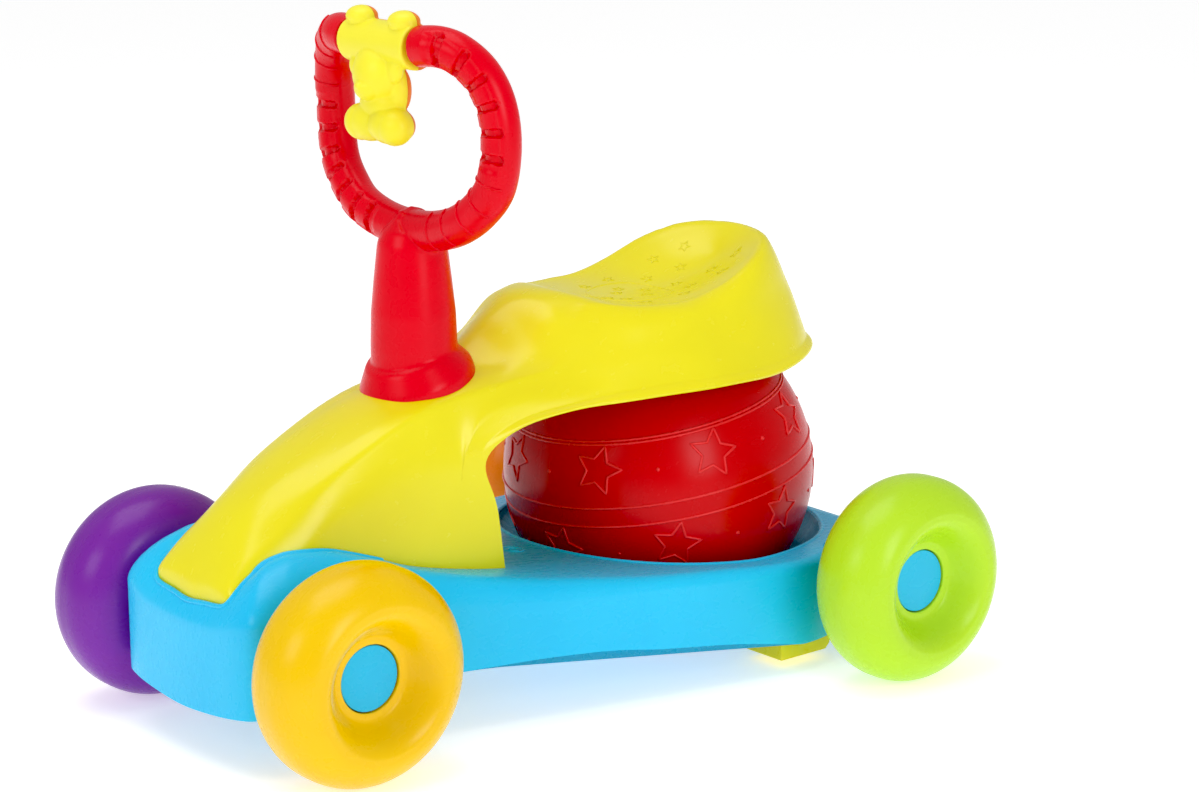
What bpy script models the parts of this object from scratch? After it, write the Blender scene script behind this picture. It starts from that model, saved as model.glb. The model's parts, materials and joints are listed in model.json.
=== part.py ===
"""Bouncing ride-on toy: four wheels, hollow base, ball spring, hinged saddle body, ring handle and figure."""

import math

import bmesh
import bpy
import numpy as np

for old in list(bpy.data.objects):
    bpy.data.objects.remove(old, do_unlink=True)

# Sizes in millimetres. The toy faces -Y, its left side is +X, and the floor is z = 0.
MM = 0.001
wheel_radius = 70.0
wheel_half_width = 33.3
tread_half_flat = 2.5
wheel_wall = 2.5
wheel_bore_radius = 8.0
hub_face_out = 3.0
hub_back_in = 22.0
recess_radius = 21.6
cap_out = 11.1
cap_wall = 2.5
wheelbase = 396.6
front_track = 232.0
wheel_side_gap = 2.7
rear_track = 382.0
axle_radius = 4.0
axle_past_hub = 3.5
stub_inner_end = 104.0
nut_radius = 7.0
nut_thickness = 1.2
running_gap = 0.25
fit_gap = 0.3
skirt_gap = 0.7
cap_gap = 0.4
seam_gap = 1.5
ball_radius = 108.5
ball_wall = 4.0
ball_floor_gap = 10.5
ball_ahead = 55.7
ball_rest_gap = 0.6
cradle_mouth_gap = 3.5
cradle_hole_radius = 50.0
valve_radius = 3.3
base_wall = 3.0
body_wall = 3.0
hinge_back = -17.5
hinge_lift = 19.0
hinge_pin_radius = 4.0
hinge_ear_x = 29.4
hinge_lug_x = 21.0
plate_thickness = 5.0
clip_thickness = 1.5
press_ring_radius = 56.0
press_ring_wall = 4.0
post_lean_back = 131.3
post_foot_radius = 39.8
post_low_radius = 28.3
post_top_radius = 22.4
slope_degrees = 19.6
ring_tube_radius = 13.0
handle_wall = 2.6
handle_boss_radius = 6.0
grip_bar_radius = 5.0
sleeve_radius = 14.5
sleeve_half_length = 33.5
screw_shaft_radius = 1.8
screw_head_radius = 3.6
foot_pin_radius = 3.0
foot_length = 38.0
foot_drop = 24.0
foot_inner_x = 90.5
foot_outer_x = 126.0
foot_pin_back = 9.5
foot_pin_lift = -40.0

front_y = -wheelbase / 2
rear_y = wheelbase / 2
ball_y = rear_y - ball_ahead
ball_z = ball_radius + ball_floor_gap
ball_top = ball_z + ball_radius
cradle_mouth_radius = ball_radius + cradle_mouth_gap
front_half = front_track / 2 - wheel_half_width - wheel_side_gap


def front(x, y, z):
    """A point measured from the middle of the front axle line."""
    return (x, front_y + y, wheel_radius + z)


def rear(x, y, z):
    """A point measured from the ball's centre line, at the height of the axles."""
    return (x, ball_y + y, wheel_radius + z)


def seat(x, y, z):
    """A point measured from the ball's centre line, with the top of the ball at z 157.5."""
    return (x, ball_y + y, ball_top - 157.5 + z)


def flank(share, y, z):
    """A point from the front axle line whose x is a share of the base's half width between the front wheels."""
    return (front_half * share, front_y + y, wheel_radius + z)


# Guide lines of the yellow body, each from the nose to the back of the seat.
crown_line = [
    front(0, -46, 28), front(0, -44, 42), front(0, -29, 65), front(0, -7, 88), front(0, 28, 109),
    front(0, 70, 128), front(0, 103, 139), front(0, 132, 147), front(0, 156, 154), front(0, 177, 166),
    front(0, 194, 179), seat(0, -128, 190), seat(0, -110, 192), seat(0, -78, 182), seat(0, -40, 175),
    seat(0, -1, 175), seat(0, 30, 181), seat(0, 51, 189), seat(0, 59, 195),
]
edge_line = [
    front(21, -45, 28), front(21, -44, 42), front(21, -29, 63), front(21, -6, 85), front(22, 28, 106),
    front(22, 70, 125), front(23, 103, 135), front(24, 132, 142), front(24, 154, 147), front(26, 177, 154),
    front(28, 198, 168), seat(32, -121, 183), seat(41, -99, 184), seat(55, -68, 180), seat(62, -33, 178),
    seat(62, 6, 181), seat(55, 43, 192), seat(34, 68, 203), seat(0, 78, 207),
]
shoulder_line = [
    front(35, -44, 28), front(36, -43, 42), front(38, -27, 56), front(39, -2, 71), front(40, 29, 94),
    front(41, 70, 113), front(41, 101, 124), front(42, 127, 130), front(44, 146, 134), front(46, 164, 137),
    front(50, 190, 140), seat(59, -120, 146), seat(67, -96, 151), seat(74, -68, 155), seat(78, -33, 158),
    seat(78, 9, 160), seat(66, 52, 168), seat(41, 84, 176), seat(0, 96, 181),
]
flank_line = [
    front(42, -42, 27), front(43, -38, 41), front(46, -18, 46), front(48, 4, 56), front(49, 32, 73),
    front(50, 70, 82), front(52, 104, 80), front(53, 128, 76), front(54, 133, 93), front(55, 142, 111),
    front(60, 173, 125), seat(69, -127, 130), seat(78, -96, 134), seat(84, -61, 137), seat(88, -26, 139),
    seat(85, 16, 140), seat(72, 61, 145), seat(43, 95, 149), seat(0, 106, 152),
]
rim_line = [
    front(43, -38, 25), front(45, -32, 28), front(47, -13, 34), front(49, 7, 38), front(50, 35, 37),
    front(52, 70, 27), front(55, 112, 13), front(56, 167, 1), front(56, 161, 60), front(56, 146, 94),
    front(61, 168, 111), seat(73, -134, 119), seat(82, -99, 122), seat(88, -61, 124), seat(92, -22, 125),
    seat(90, 20, 125), seat(75, 66, 128), seat(45, 101, 131), seat(0, 113, 132),
]
block_steps = 7
neck_steps = 9

# The base outline: the height where its wall starts and ends, then the inner edge of its rounded top.
wall_foot = [
    front(0, -54, -38), flank(0.4375, -53, -36), flank(0.75, -51, -33), flank(0.9125, -46, -31), flank(0.9875, -32, -28),
    flank(1, -14, -27), flank(1, 21, -27), flank(1, 56, -28), flank(1.0375, 91, -29), flank(1.1875, 147, -29),
    rear(108, -138, -31), rear(118, -96, -36), rear(128, -47, -41), rear(136, -8, -47), rear(139, 13, -50),
    rear(136, 34, -50), rear(126, 69, -49), rear(115, 100, -48), rear(93, 116, -48), rear(56, 121, -48),
    rear(0, 121, -48),
]
wall_top_lift = [
    18, 19, 25, 28, 29, 31, 31, 23, 15, 8, 5, 4, 1, 1, 1, 0, -1, -1, -2, -2, -2,
]
deck_edge = [
    front(0, -29, 43), flank(0.4, -29, 47), flank(0.54, -27, 52), flank(0.575, -20, 57.5), flank(0.6, -11, 60.5),
    flank(0.62, 0, 62), flank(0.6625, 24, 59.5), flank(0.7375, 56, 49), flank(0.825, 92, 36), flank(1.0125, 150, 24),
    rear(97, -136, 17), rear(109, -94, 13), rear(120, -46, 10), rear(129, -7, 8), rear(132, 13, 8),
    rear(129, 32, 8), rear(120, 64, 7), rear(109, 93, 6), rear(90, 109, 6), rear(54, 114, 5),
    rear(0, 116, 5),
]

# How full the rounding between wall and deck is: 0 is a flat slope and 1 a quarter round.
rounding_fullness = [0.55] * 7 + [0.7, 0.85] + [1.0] * 12

# Middle line of the ring handle, from the bottom of the ring up its left side.
ring_line = [
    front(0, 131, 243), front(26, 131, 245), front(51, 131, 252), front(70, 133, 264), front(84, 135, 281),
    front(88, 136, 308), front(84, 134, 331), front(75, 129, 348), front(62, 121.5, 359), front(48, 115.8, 364), front(36, 114, 364),
]

sky_blue = (0.07, 0.60, 0.90)
sun_yellow = (0.84, 0.77, 0.02)
ball_red = (0.62, 0.0, 0.01)
handle_red = (0.72, 0.0, 0.03)
steel_grey = (0.62, 0.63, 0.65)
orange = (0.90, 0.25, 0.01)
amber = (0.85, 0.55, 0.01)
lime = (0.42, 0.72, 0.05)
violet = (0.21, 0.03, 0.40)
nylon = (0.85, 0.85, 0.82)


# Building helpers


def add(name, verts, faces, colour=None, rough=0.3, metal=0.0):
    """Makes one object from points in millimetres. Without a colour it is a hidden helper."""
    mesh = bpy.data.meshes.new(name)
    mesh.from_pydata([tuple(float(c) * MM for c in v) for v in verts], [], faces)
    shape = bmesh.new()
    shape.from_mesh(mesh)
    bmesh.ops.remove_doubles(shape, verts=shape.verts, dist=1e-6)
    bmesh.ops.recalc_face_normals(shape, faces=shape.faces)
    shape.to_mesh(mesh)
    shape.free()
    made = bpy.data.objects.new(name, mesh)
    bpy.context.scene.collection.objects.link(made)
    if colour is None:
        made.hide_render = True
        made.display_type = "WIRE"
        return made
    paint = bpy.data.materials.new(name)
    paint.use_nodes = True
    surface = paint.node_tree.nodes["Principled BSDF"]
    surface.inputs["Base Color"].default_value = (*colour, 1.0)
    surface.inputs["Roughness"].default_value = rough
    surface.inputs["Metallic"].default_value = metal
    mesh.materials.append(paint)
    return made


def combine(target, operation, *tools):
    for tool in tools:
        step = target.modifiers.new(tool.name, "BOOLEAN")
        step.operation = operation
        step.solver = "EXACT"
        step.object = tool
    return target


def lathe(profile, facets, centre, axis="X", side=1):
    """Turns a closed (radius, along) profile. Flat facets touch the stated radius, one of them at the bottom."""
    verts, faces = [], []
    count = len(profile)
    half = math.pi / facets
    for i in range(facets):
        angle = -math.pi / 2 + half + 2 * half * i
        for radius, along in profile:
            r = radius / math.cos(half)
            c, s = r * math.cos(angle), r * math.sin(angle)
            a = along * side
            offset = {"X": (a, c, s), "Y": (c, a, s), "Z": (c, s, a)}[axis]
            verts.append(tuple(p + o for p, o in zip(centre, offset)))
    for i in range(facets):
        j = (i + 1) % facets
        for k in range(count):
            n = (k + 1) % count
            if profile[k][0] > 0 or profile[n][0] > 0:
                faces.append((i * count + k, i * count + n, j * count + n, j * count + k))
    return verts, faces


def rod(radius, start, end):
    return [(0, start), (radius, start), (radius, end), (0, end)]


def tube(inner, outer, start, end):
    return [(inner, start), (outer, start), (outer, end), (inner, end)]


def box(low, high):
    verts = [(x, y, z) for x in (low[0], high[0]) for y in (low[1], high[1]) for z in (low[2], high[2])]
    faces = [(0, 1, 3, 2), (4, 6, 7, 5), (0, 4, 5, 1), (2, 3, 7, 6), (0, 2, 6, 4), (1, 5, 7, 3)]
    return verts, faces


def slab(outline, low, high, axis="Z"):
    """A flat outline given thickness along one axis."""
    verts = []
    for level in (low, high):
        for u, v in outline:
            verts.append({"X": (level, u, v), "Y": (u, level, v), "Z": (u, v, level)}[axis])
    n = len(outline)
    faces = [tuple(range(n)), tuple(range(n, 2 * n))]
    faces += [(i, (i + 1) % n, n + (i + 1) % n, n + i) for i in range(n)]
    return verts, faces


def ball_of(centre, radii, around=8, rows=6):
    verts, faces = [], []
    for j in range(rows + 1):
        polar = math.pi * j / rows
        for i in range(around):
            turn = 2 * math.pi * i / around
            unit = (math.sin(polar) * math.cos(turn), math.sin(polar) * math.sin(turn), math.cos(polar))
            verts.append(tuple(c + r * u for c, r, u in zip(centre, radii, unit)))
    for j in range(rows):
        for i in range(around):
            n = (i + 1) % around
            faces.append((j * around + i, j * around + n, (j + 1) * around + n, (j + 1) * around + i))
    return verts, faces


def sweep(points, radius, sides):
    """A round bar along a line of points, with flat ends."""
    points = np.array(points, float)
    along = np.gradient(points, axis=0)
    along /= np.linalg.norm(along, axis=1)[:, None]
    verts, faces = [], []
    for point, ahead in zip(points, along):
        across = np.cross(ahead, (0.0, 1.0, 0.0))
        across /= np.linalg.norm(across)
        up = np.cross(across, ahead)
        for i in range(sides):
            turn = 2 * math.pi * (i + 0.5) / sides
            verts.append(tuple(point + radius * (math.cos(turn) * across + math.sin(turn) * up)))
    for k in range(len(points) - 1):
        for i in range(sides):
            n = (i + 1) % sides
            faces.append((k * sides + i, k * sides + n, (k + 1) * sides + n, (k + 1) * sides + i))
    faces.append(tuple(range(sides)))
    faces.append(tuple(range(len(verts) - sides, len(verts))))
    return verts, faces


def mirrored(point):
    return point * np.array([-1.0, 1.0, 1.0])


def refine(grid, steps, before=None, after=None):
    """Splits each span of the first axis, with tangents held back so that no span overshoots."""
    rows = [grid[0] * 2 - grid[1] if before is None else before]
    rows += list(grid)
    rows += [grid[-1] * 2 - grid[-2] if after is None else after]
    spans = [rows[i + 1] - rows[i] for i in range(len(rows) - 1)]
    tangents = []
    for a, b in zip(spans[:-1], spans[1:]):
        least = 2.5 * np.minimum(abs(a), abs(b))
        tangents.append(np.where(a * b > 0, np.clip((a + b) / 2, -least, least), 0.0))
    made = []
    for i in range(len(grid) - 1):
        for k in range(steps):
            t = k / steps
            made.append(
                (2 * t**3 - 3 * t**2 + 1) * grid[i]
                + (t**3 - 2 * t**2 + t) * tangents[i]
                + (3 * t**2 - 2 * t**3) * grid[i + 1]
                + (t**3 - t**2) * tangents[i + 1]
            )
    made.append(grid[-1])
    return np.array(made)


# The yellow body

station_steps = 2
line_steps = 2
body_net = np.array([crown_line, edge_line, shoulder_line, flank_line, rim_line], float)
body_net = refine(body_net, line_steps, before=mirrored(body_net[1]))
across_stations = body_net.transpose(1, 0, 2)
across_stations = refine(across_stations, station_steps, after=mirrored(across_stations[-2]))
body_net = across_stations.transpose(1, 0, 2)


def body_solid(name, inset, drop):
    """The yellow body filled in, its skin moved inwards by inset and its open rim carried down by drop."""
    lines, stations = body_net.shape[:2]
    verts, index, faces = [], {}, []

    def at(line, station, side):
        point = body_net[line, station] * np.array([side, 1.0, 1.0])
        key = tuple(np.round(point, 4) + 0.0)
        if key not in index:
            index[key] = len(verts)
            verts.append(point)
        return index[key]

    for side in (1, -1):
        for i in range(lines - 1):
            for j in range(stations - 1):
                ring = [at(i, j, side), at(i, j + 1, side), at(i + 1, j + 1, side), at(i + 1, j, side)]
                ring = [p for k, p in enumerate(ring) if p != ring[k - 1]]
                if len(ring) > 2:
                    faces.append(tuple(ring if side > 0 else ring[::-1]))
    points = np.array(verts)
    normals = np.zeros_like(points)
    for ring in faces:
        corner = points[list(ring)]
        normal = np.cross(corner[2] - corner[0], corner[-1] - corner[1])
        normals[list(ring)] += normal
    normals /= np.linalg.norm(normals, axis=1)[:, None]
    if ((points - points.mean(axis=0)) * normals).sum() < 0:
        normals = -normals
    points = points - inset * normals
    rim = {side: [at(lines - 1, j, side) for j in range(stations)] for side in (1, -1)}
    nose = [at(i, 0, 1) for i in range(lines - 1, -1, -1)] + [at(i, 0, -1) for i in range(1, lines)]
    verts = list(points)

    def lowered(p, station):
        step = station / station_steps
        down = drop if step <= block_steps else drop * min(max((step - neck_steps) / 2, 0.0), 1.0)
        back = min(drop, 5.0) * min(max(neck_steps + 1 - step, 0.0), 1.0) if step >= block_steps else 0.0
        verts.append(points[p] + np.array([0.0, back, -down]))
        return len(verts) - 1

    low_nose = [lowered(p, 0) for p in nose]
    low = {1: [low_nose[0]], -1: [low_nose[-1]]}
    for j in range(1, stations - 1):
        for side in (1, -1):
            low[side].append(lowered(rim[side][j], j))
    last = lowered(rim[1][-1], stations - 1)
    low[1].append(last)
    low[-1].append(last)
    for k in range(len(nose) - 1):
        faces.append((nose[k], nose[k + 1], low_nose[k + 1], low_nose[k]))
    for side in (1, -1):
        for j in range(stations - 1):
            faces.append((rim[side][j], rim[side][j + 1], low[side][j + 1], low[side][j]))
    faces.append(tuple(low_nose))
    for j in range(stations - 1):
        ring = [low[1][j], low[1][j + 1], low[-1][j + 1], low[-1][j]]
        ring = [p for k, p in enumerate(ring) if p != ring[k - 1]]
        faces.append(tuple(ring))
    return name, verts, faces


hinge = front(0, hinge_back, hinge_lift)
body_shell = add(*body_solid("body_shell", 0.0, 0.0), sun_yellow)
body_hollow = add(*body_solid("body_hollow", body_wall, 9.0))
body_middle = add(*body_solid("body_middle", body_wall / 2, 60.0))
combine(body_shell, "DIFFERENCE", body_hollow)
rear_edge = body_net[-1, block_steps * station_steps : neck_steps * station_steps + 1, 1:]
rear_outline = [tuple(p - (0.6, 0)) for p in rear_edge] + [tuple(p - (0.6 + body_wall, 0)) for p in rear_edge[::-1]]
rear_half = rim_line[block_steps][0] - body_wall / 2
rear_plate = add("rear_plate", *slab(rear_outline, -rear_half, rear_half, "X"))
combine(body_shell, "UNION", rear_plate)
for side, word in ((1, "left"), (-1, "right")):
    near = side * hinge_lug_x - plate_thickness / 2
    lug = add(
        "body_lug_" + word,
        *box((near, hinge[1] - 8, hinge[2] - 8), (near + plate_thickness, hinge[1] + 8, hinge[2] + 90)),
    )
    combine(lug, "INTERSECT", body_middle)
    combine(body_shell, "UNION", lug)
press_low = math.sqrt(ball_radius**2 - (press_ring_radius - press_ring_wall / 2) ** 2) + fit_gap
press_ring = add(
    "press_ring",
    *lathe(
        tube(
            press_ring_radius - press_ring_wall / 2, press_ring_radius + press_ring_wall / 2,
            press_low, ball_radius + 60,
        ),
        24, (0, ball_y, ball_z), "Z",
    ),
)
combine(press_ring, "INTERSECT", body_middle)
combine(body_shell, "UNION", press_ring)
hinge_bore_length = hinge_ear_x + plate_thickness / 2 + 2 * clip_thickness + 2
body_bore = add(
    "body_bore",
    *lathe(rod(hinge_pin_radius + running_gap, -hinge_lug_x - 6, hinge_lug_x + 6), 16, hinge),
)
combine(body_shell, "DIFFERENCE", body_bore)

# The base

wall_foot = np.array(wall_foot, float)
wall_top = wall_foot.copy()
wall_top[:, 2] = wheel_radius + np.array(wall_top_lift, float)
deck_edge = np.array(deck_edge, float)
fullness = np.array(rounding_fullness)[:, None] * np.array([-1.0, -1.0, 1.0])
rounding = wall_top + (deck_edge - wall_top) * (0.5 + 0.207 * fullness)
base_rings = []
for line in (wall_foot, wall_top, rounding, deck_edge):
    base_rings.append(refine(line, 2, before=mirrored(line[1]), after=mirrored(line[-2])))


def base_solid(name, inset, drop, every=1):
    """The base filled in, moved inwards by inset and carried down by drop."""
    rings = []
    for level, line in enumerate(base_rings):
        line = line[::every]
        ahead = np.gradient(np.vstack([mirrored(line[1]), line, mirrored(line[-2])]), axis=0)[1:-1]
        inward = np.stack([-ahead[:, 1], ahead[:, 0], np.zeros(len(line))], axis=1)
        inward /= np.linalg.norm(inward, axis=1)[:, None]
        moved = line + inward * inset
        moved[:, 2] -= drop if level == 0 else inset * (0, 0.3, 0.7, 1.0)[level]
        rings.append(moved)
    verts, faces = [], []
    n = 2 * len(rings[0]) - 2
    for line in rings:
        verts += list(line) + [mirrored(p) for p in line[-2:0:-1]]
    for level in range(len(rings) - 1):
        for i in range(n):
            j = (i + 1) % n
            faces.append((level * n + i, level * n + j, (level + 1) * n + j, (level + 1) * n + i))
    faces.append(tuple(range(n)))
    top = (len(rings) - 1) * n
    count = len(rings[0])
    for i in range(count - 1):
        ring = [top + i, top + i + 1, top + (n - i - 1) % n, top + (n - i) % n]
        ring = [p for k, p in enumerate(ring) if p != ring[k - 1]]
        faces.append(tuple(ring))
    return name, verts, faces


def grown(outline, distance):
    """An outline in plan moved outwards."""
    points = np.array(outline, float)
    ahead = np.roll(points, -1, axis=0) - points
    ahead /= np.linalg.norm(ahead, axis=1)[:, None]
    out = np.stack([ahead[:, 1], -ahead[:, 0]], axis=1)
    before = np.roll(out, 1, axis=0)
    meet = out + before
    meet *= (2 / (meet**2).sum(axis=1))[:, None]
    return [tuple(p + distance * m) for p, m in zip(points, meet)]


def seam_outline():
    """The plan of the yellow block where it dips into the base, counter-clockwise."""
    nose = body_net[:, 0, :2]
    side = body_net[-1, 1 : block_steps * station_steps + 1, :2]
    half = np.vstack([nose, side])
    half[:, 0] = np.maximum.accumulate(half[:, 0])
    other = half[:0:-1] * np.array([-1.0, 1.0])
    return [tuple(p) for p in np.vstack([half, other])]


def cradle(offset):
    """Half section of the cradle's inner face, moved out by offset, as (radius, height over the ball centre)."""
    rest = ball_radius + ball_rest_gap
    made = []
    for r in (cradle_hole_radius, 0.58 * ball_radius, 0.69 * ball_radius):
        made.append((r + 0.5 * offset, -math.sqrt(rest**2 - r**2) - 0.86 * offset))
    made.append((0.83 * ball_radius + 0.6 * offset, -0.613 * ball_radius - 0.8 * offset))
    made.append((0.9585 * ball_radius + 0.65 * offset, -0.4885 * ball_radius - 0.76 * offset))
    made.append((cradle_mouth_radius + offset, -0.4147 * ball_radius - 0.5 * offset))
    return made


outline = seam_outline()
base_deck = add(*base_solid("base_deck", 0.0, 0.0), sky_blue)
base_hollow = add(*base_solid("base_hollow", base_wall, 60.0, 2))
base_middle = add(*base_solid("base_middle", base_wall / 3, 60.0))
combine(base_deck, "DIFFERENCE", base_hollow)
well_wall = add(
    "well_wall", *slab(grown(outline, seam_gap + base_wall), wheel_radius + 2, wheel_radius + 90)
)
combine(well_wall, "INTERSECT", base_middle)
ball_centre = (0, ball_y, ball_z)
bowl = [(cradle_mouth_radius + base_wall, 30), (cradle_hole_radius - 0.0, 30)]
bowl += [(cradle_hole_radius, cradle(base_wall)[0][1])] + cradle(base_wall)
bowl_outer = add("bowl_outer", *lathe(bowl, 32, ball_centre, "Z"))
combine(bowl_outer, "INTERSECT", base_middle)
combine(base_deck, "UNION", well_wall, bowl_outer)
well_cutter = add("well_cutter", *slab(grown(outline, seam_gap), wheel_radius - 10, wheel_radius + 120))
combine(base_deck, "DIFFERENCE", well_cutter)
ear_outline = [
    (-51.5, -28), (10, -28), (10, -5), (-10, hinge_lift + 3), (-14, hinge_lift + 7.5),
    (-21, hinge_lift + 7.5), (-26, hinge_lift + 1), (-51.5, 11),
]
ear_outline = [(front_y + y, wheel_radius + z) for y, z in ear_outline]
for side, word in ((1, "left"), (-1, "right")):
    near = side * hinge_ear_x - plate_thickness / 2
    ear = add("ear_" + word, *slab(ear_outline, near, near + plate_thickness, "X"))
    front_boss = add(
        "front_boss_" + word,
        *lathe(rod(axle_radius + 5, front_track / 2 - 42, front_track / 2 - hub_back_in - 3), 16, front(0, 0, 0), "X", side),
    )
    rear_boss = add(
        "rear_boss_" + word,
        *lathe(
            [(0, 118), (12, 118), (12, 132), (9, rear_track / 2 - hub_back_in - 3.5), (0, rear_track / 2 - hub_back_in - 3.5)],
            16, (0, rear_y, wheel_radius), "X", side,
        ),
    )
    stub_low = (side * (stub_inner_end + 1) - 3, rear_y - 12, wheel_radius - 12)
    stub_high = (side * (stub_inner_end + 1) + 3, rear_y + 12, wheel_radius + 5.5)
    stub_hanger = add("stub_hanger_" + word, *box(stub_low, stub_high))
    foot_y, foot_z = ball_y + foot_pin_back, wheel_radius + foot_pin_lift
    lugs = []
    for part, low, high in (("in", foot_inner_x - 4.4, foot_inner_x - 0.4), ("out", foot_outer_x + 0.5, foot_outer_x + 11)):
        a, b = sorted((side * low, side * high))
        lugs.append(add("foot_lug_" + part + word, *box((a, foot_y - 12, foot_z - 8), (b, foot_y + 12, foot_z + 28))))
    combine(base_deck, "UNION", ear, front_boss, rear_boss, stub_hanger, *lugs)
inner_face = cradle(0.0)
bowl_space = [(0, inner_face[0][1] - 8), (cradle_hole_radius, inner_face[0][1] - 8)] + inner_face
bowl_space += [(cradle_mouth_radius + 1.5, 2.5 - 0.4147 * ball_radius), (cradle_mouth_radius + 1.5, 40), (0, 40)]
bowl_cutter = add("bowl_cutter", *lathe(bowl_space, 32, ball_centre, "Z"))
axle_bore = axle_radius + running_gap
front_bore = add("front_bore", *lathe(rod(axle_bore, -front_track / 2, front_track / 2), 20, front(0, 0, 0)))
hinge_bore = add("hinge_bore", *lathe(rod(hinge_pin_radius + running_gap, -45, 45), 16, hinge))
combine(base_deck, "DIFFERENCE", bowl_cutter, front_bore, hinge_bore)
for side, word in ((1, "left"), (-1, "right")):
    rear_bore = add(
        "rear_bore_" + word,
        *lathe(rod(axle_bore, stub_inner_end - 1, rear_track / 2), 20, (0, rear_y, wheel_radius), "X", side),
    )
    foot_bore = add(
        "foot_bore_" + word,
        *lathe(rod(foot_pin_radius + running_gap, foot_inner_x - 8, foot_outer_x + 4.4), 12, (0, foot_y, foot_z), "X", side),
    )
    combine(base_deck, "DIFFERENCE", rear_bore, foot_bore)

# The ball and its plug


def arc(radius, first, last, steps):
    made = []
    for k in range(steps + 1):
        angle = math.radians(first + (last - first) * k / steps)
        made.append((radius * math.cos(angle), radius * math.sin(angle)))
    return made


outer_start = -math.degrees(math.acos(valve_radius / ball_radius))
inner_radius = ball_radius - ball_wall
inner_start = -math.degrees(math.acos(valve_radius / inner_radius))
shrink = math.cos(math.pi / 24)
ball_profile = arc(ball_radius, outer_start, 90, 11) + arc(inner_radius, 90, inner_start, 9)
ball_profile = [(round(r * shrink, 6), z) for r, z in ball_profile]
bounce_ball = add("bounce_ball", *lathe(ball_profile, 24, ball_centre, "Z"), ball_red)
plug_low = -ball_radius + 0.3
plug_profile = [
    (0, plug_low), (valve_radius - 0.5, plug_low), (valve_radius - 0.5, -inner_radius + 1.4),
    (6, -inner_radius + 1.4), (6, -inner_radius + 3.4), (0, -inner_radius + 3.4),
]
ball_plug = add("ball_plug", *lathe(plug_profile, 12, ball_centre, "Z"), nylon)

# Wheels, bushes, hub caps, axles and nuts

crest_radius = wheel_radius - (wheel_half_width - tread_half_flat)


def wheel_profile():
    tyre_arc = wheel_half_width - tread_half_flat
    outer = [
        (wheel_bore_radius, hub_face_out), (recess_radius, hub_face_out), (recess_radius, cap_out + 0.8),
        (23, cap_out + 1.9), (26, cap_out + 1.5), (33, 22.5),
    ]
    for r, a in arc(tyre_arc, 80, 0, 4):
        outer.append((crest_radius + a * 0 + r, tread_half_flat + a))
    for r, a in arc(tyre_arc, 0, -85, 4):
        outer.append((crest_radius + r, -tread_half_flat + a))
    outer += [(28, -29), (14, -hub_back_in), (wheel_bore_radius, -hub_back_in)]
    w = wheel_wall
    inner = [(wheel_bore_radius, -hub_back_in + w), (14.5, -hub_back_in + w), (28, -29 + w)]
    for r, a in arc(tyre_arc - w, -85, 0, 2):
        inner.append((crest_radius + r, -tread_half_flat + a))
    for r, a in arc(tyre_arc - w, 0, 74, 2):
        inner.append((crest_radius + r, tread_half_flat + a))
    inner += [(36, 22), (31.5, 13.5), (recess_radius + w, hub_face_out - w)]
    inner.append((wheel_bore_radius, hub_face_out - w))
    return outer + inner


cap_radius = recess_radius - cap_gap
cap_profile = [
    (0, cap_out - cap_wall), (cap_radius - 2, cap_out - cap_wall), (cap_radius - 2, hub_face_out + cap_gap),
    (cap_radius, hub_face_out + cap_gap), (cap_radius, cap_out - 0.8), (cap_radius - 0.8, cap_out), (0, cap_out),
]
bush_outer = wheel_bore_radius - fit_gap
bush_bore = axle_radius + running_gap
bush_profile = [
    (bush_bore, -hub_back_in - fit_gap - 1.5), (11, -hub_back_in - fit_gap - 1.5), (11, -hub_back_in - fit_gap),
    (bush_outer, -hub_back_in - fit_gap), (bush_outer, hub_face_out - 0.2), (bush_bore, hub_face_out - 0.2),
]
nut_start = hub_face_out + 0.4
nut_profile = tube(axle_radius + fit_gap, nut_radius, nut_start, nut_start + nut_thickness)
corners = (
    ("front_left", front_track / 2, front_y, 1, amber), ("front_right", front_track / 2, front_y, -1, violet),
    ("rear_left", rear_track / 2, rear_y, 1, lime), ("rear_right", rear_track / 2, rear_y, -1, orange),
)
for word, out, along, side, colour in corners:
    hub = (side * out, along, wheel_radius)
    add("wheel_" + word, *lathe(wheel_profile(), 24, hub, "X", side), colour)
    add("hub_cap_" + word, *lathe(cap_profile, 24, hub, "X", side), sky_blue)
    add("bush_" + word, *lathe(bush_profile, 16, hub, "X", side), nylon, 0.5)
    add("nut_" + word, *lathe(nut_profile, 12, hub, "X", side), steel_grey, 0.3, 1.0)
reach = hub_face_out + axle_past_hub
front_reach = front_track / 2 + reach
add("front_axle", *lathe(rod(axle_radius, -front_reach, front_reach), 12, front(0, 0, 0)), steel_grey, 0.25, 1.0)
for side, word in ((1, "left"), (-1, "right")):
    stub = rod(axle_radius, stub_inner_end, rear_track / 2 + reach)
    add("rear_axle_" + word, *lathe(stub, 12, (0, rear_y, wheel_radius), "X", side), steel_grey, 0.25, 1.0)

# Seat hinge pin and its clips

clip_start = hinge_ear_x + plate_thickness / 2 + fit_gap
pin_end = clip_start + clip_thickness + 1.5
add("seat_pin", *lathe(rod(hinge_pin_radius, -pin_end, pin_end), 12, hinge), steel_grey, 0.25, 1.0)
for side, word in ((1, "left"), (-1, "right")):
    clip = tube(hinge_pin_radius + fit_gap, hinge_pin_radius + 4, clip_start, clip_start + clip_thickness)
    add("seat_pin_clip_" + word, *lathe(clip, 12, hinge, "X", side), steel_grey, 0.3, 1.0)

# The ring handle: post, foot flange and ring as a hollow moulding split into a front and a rear half

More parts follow.
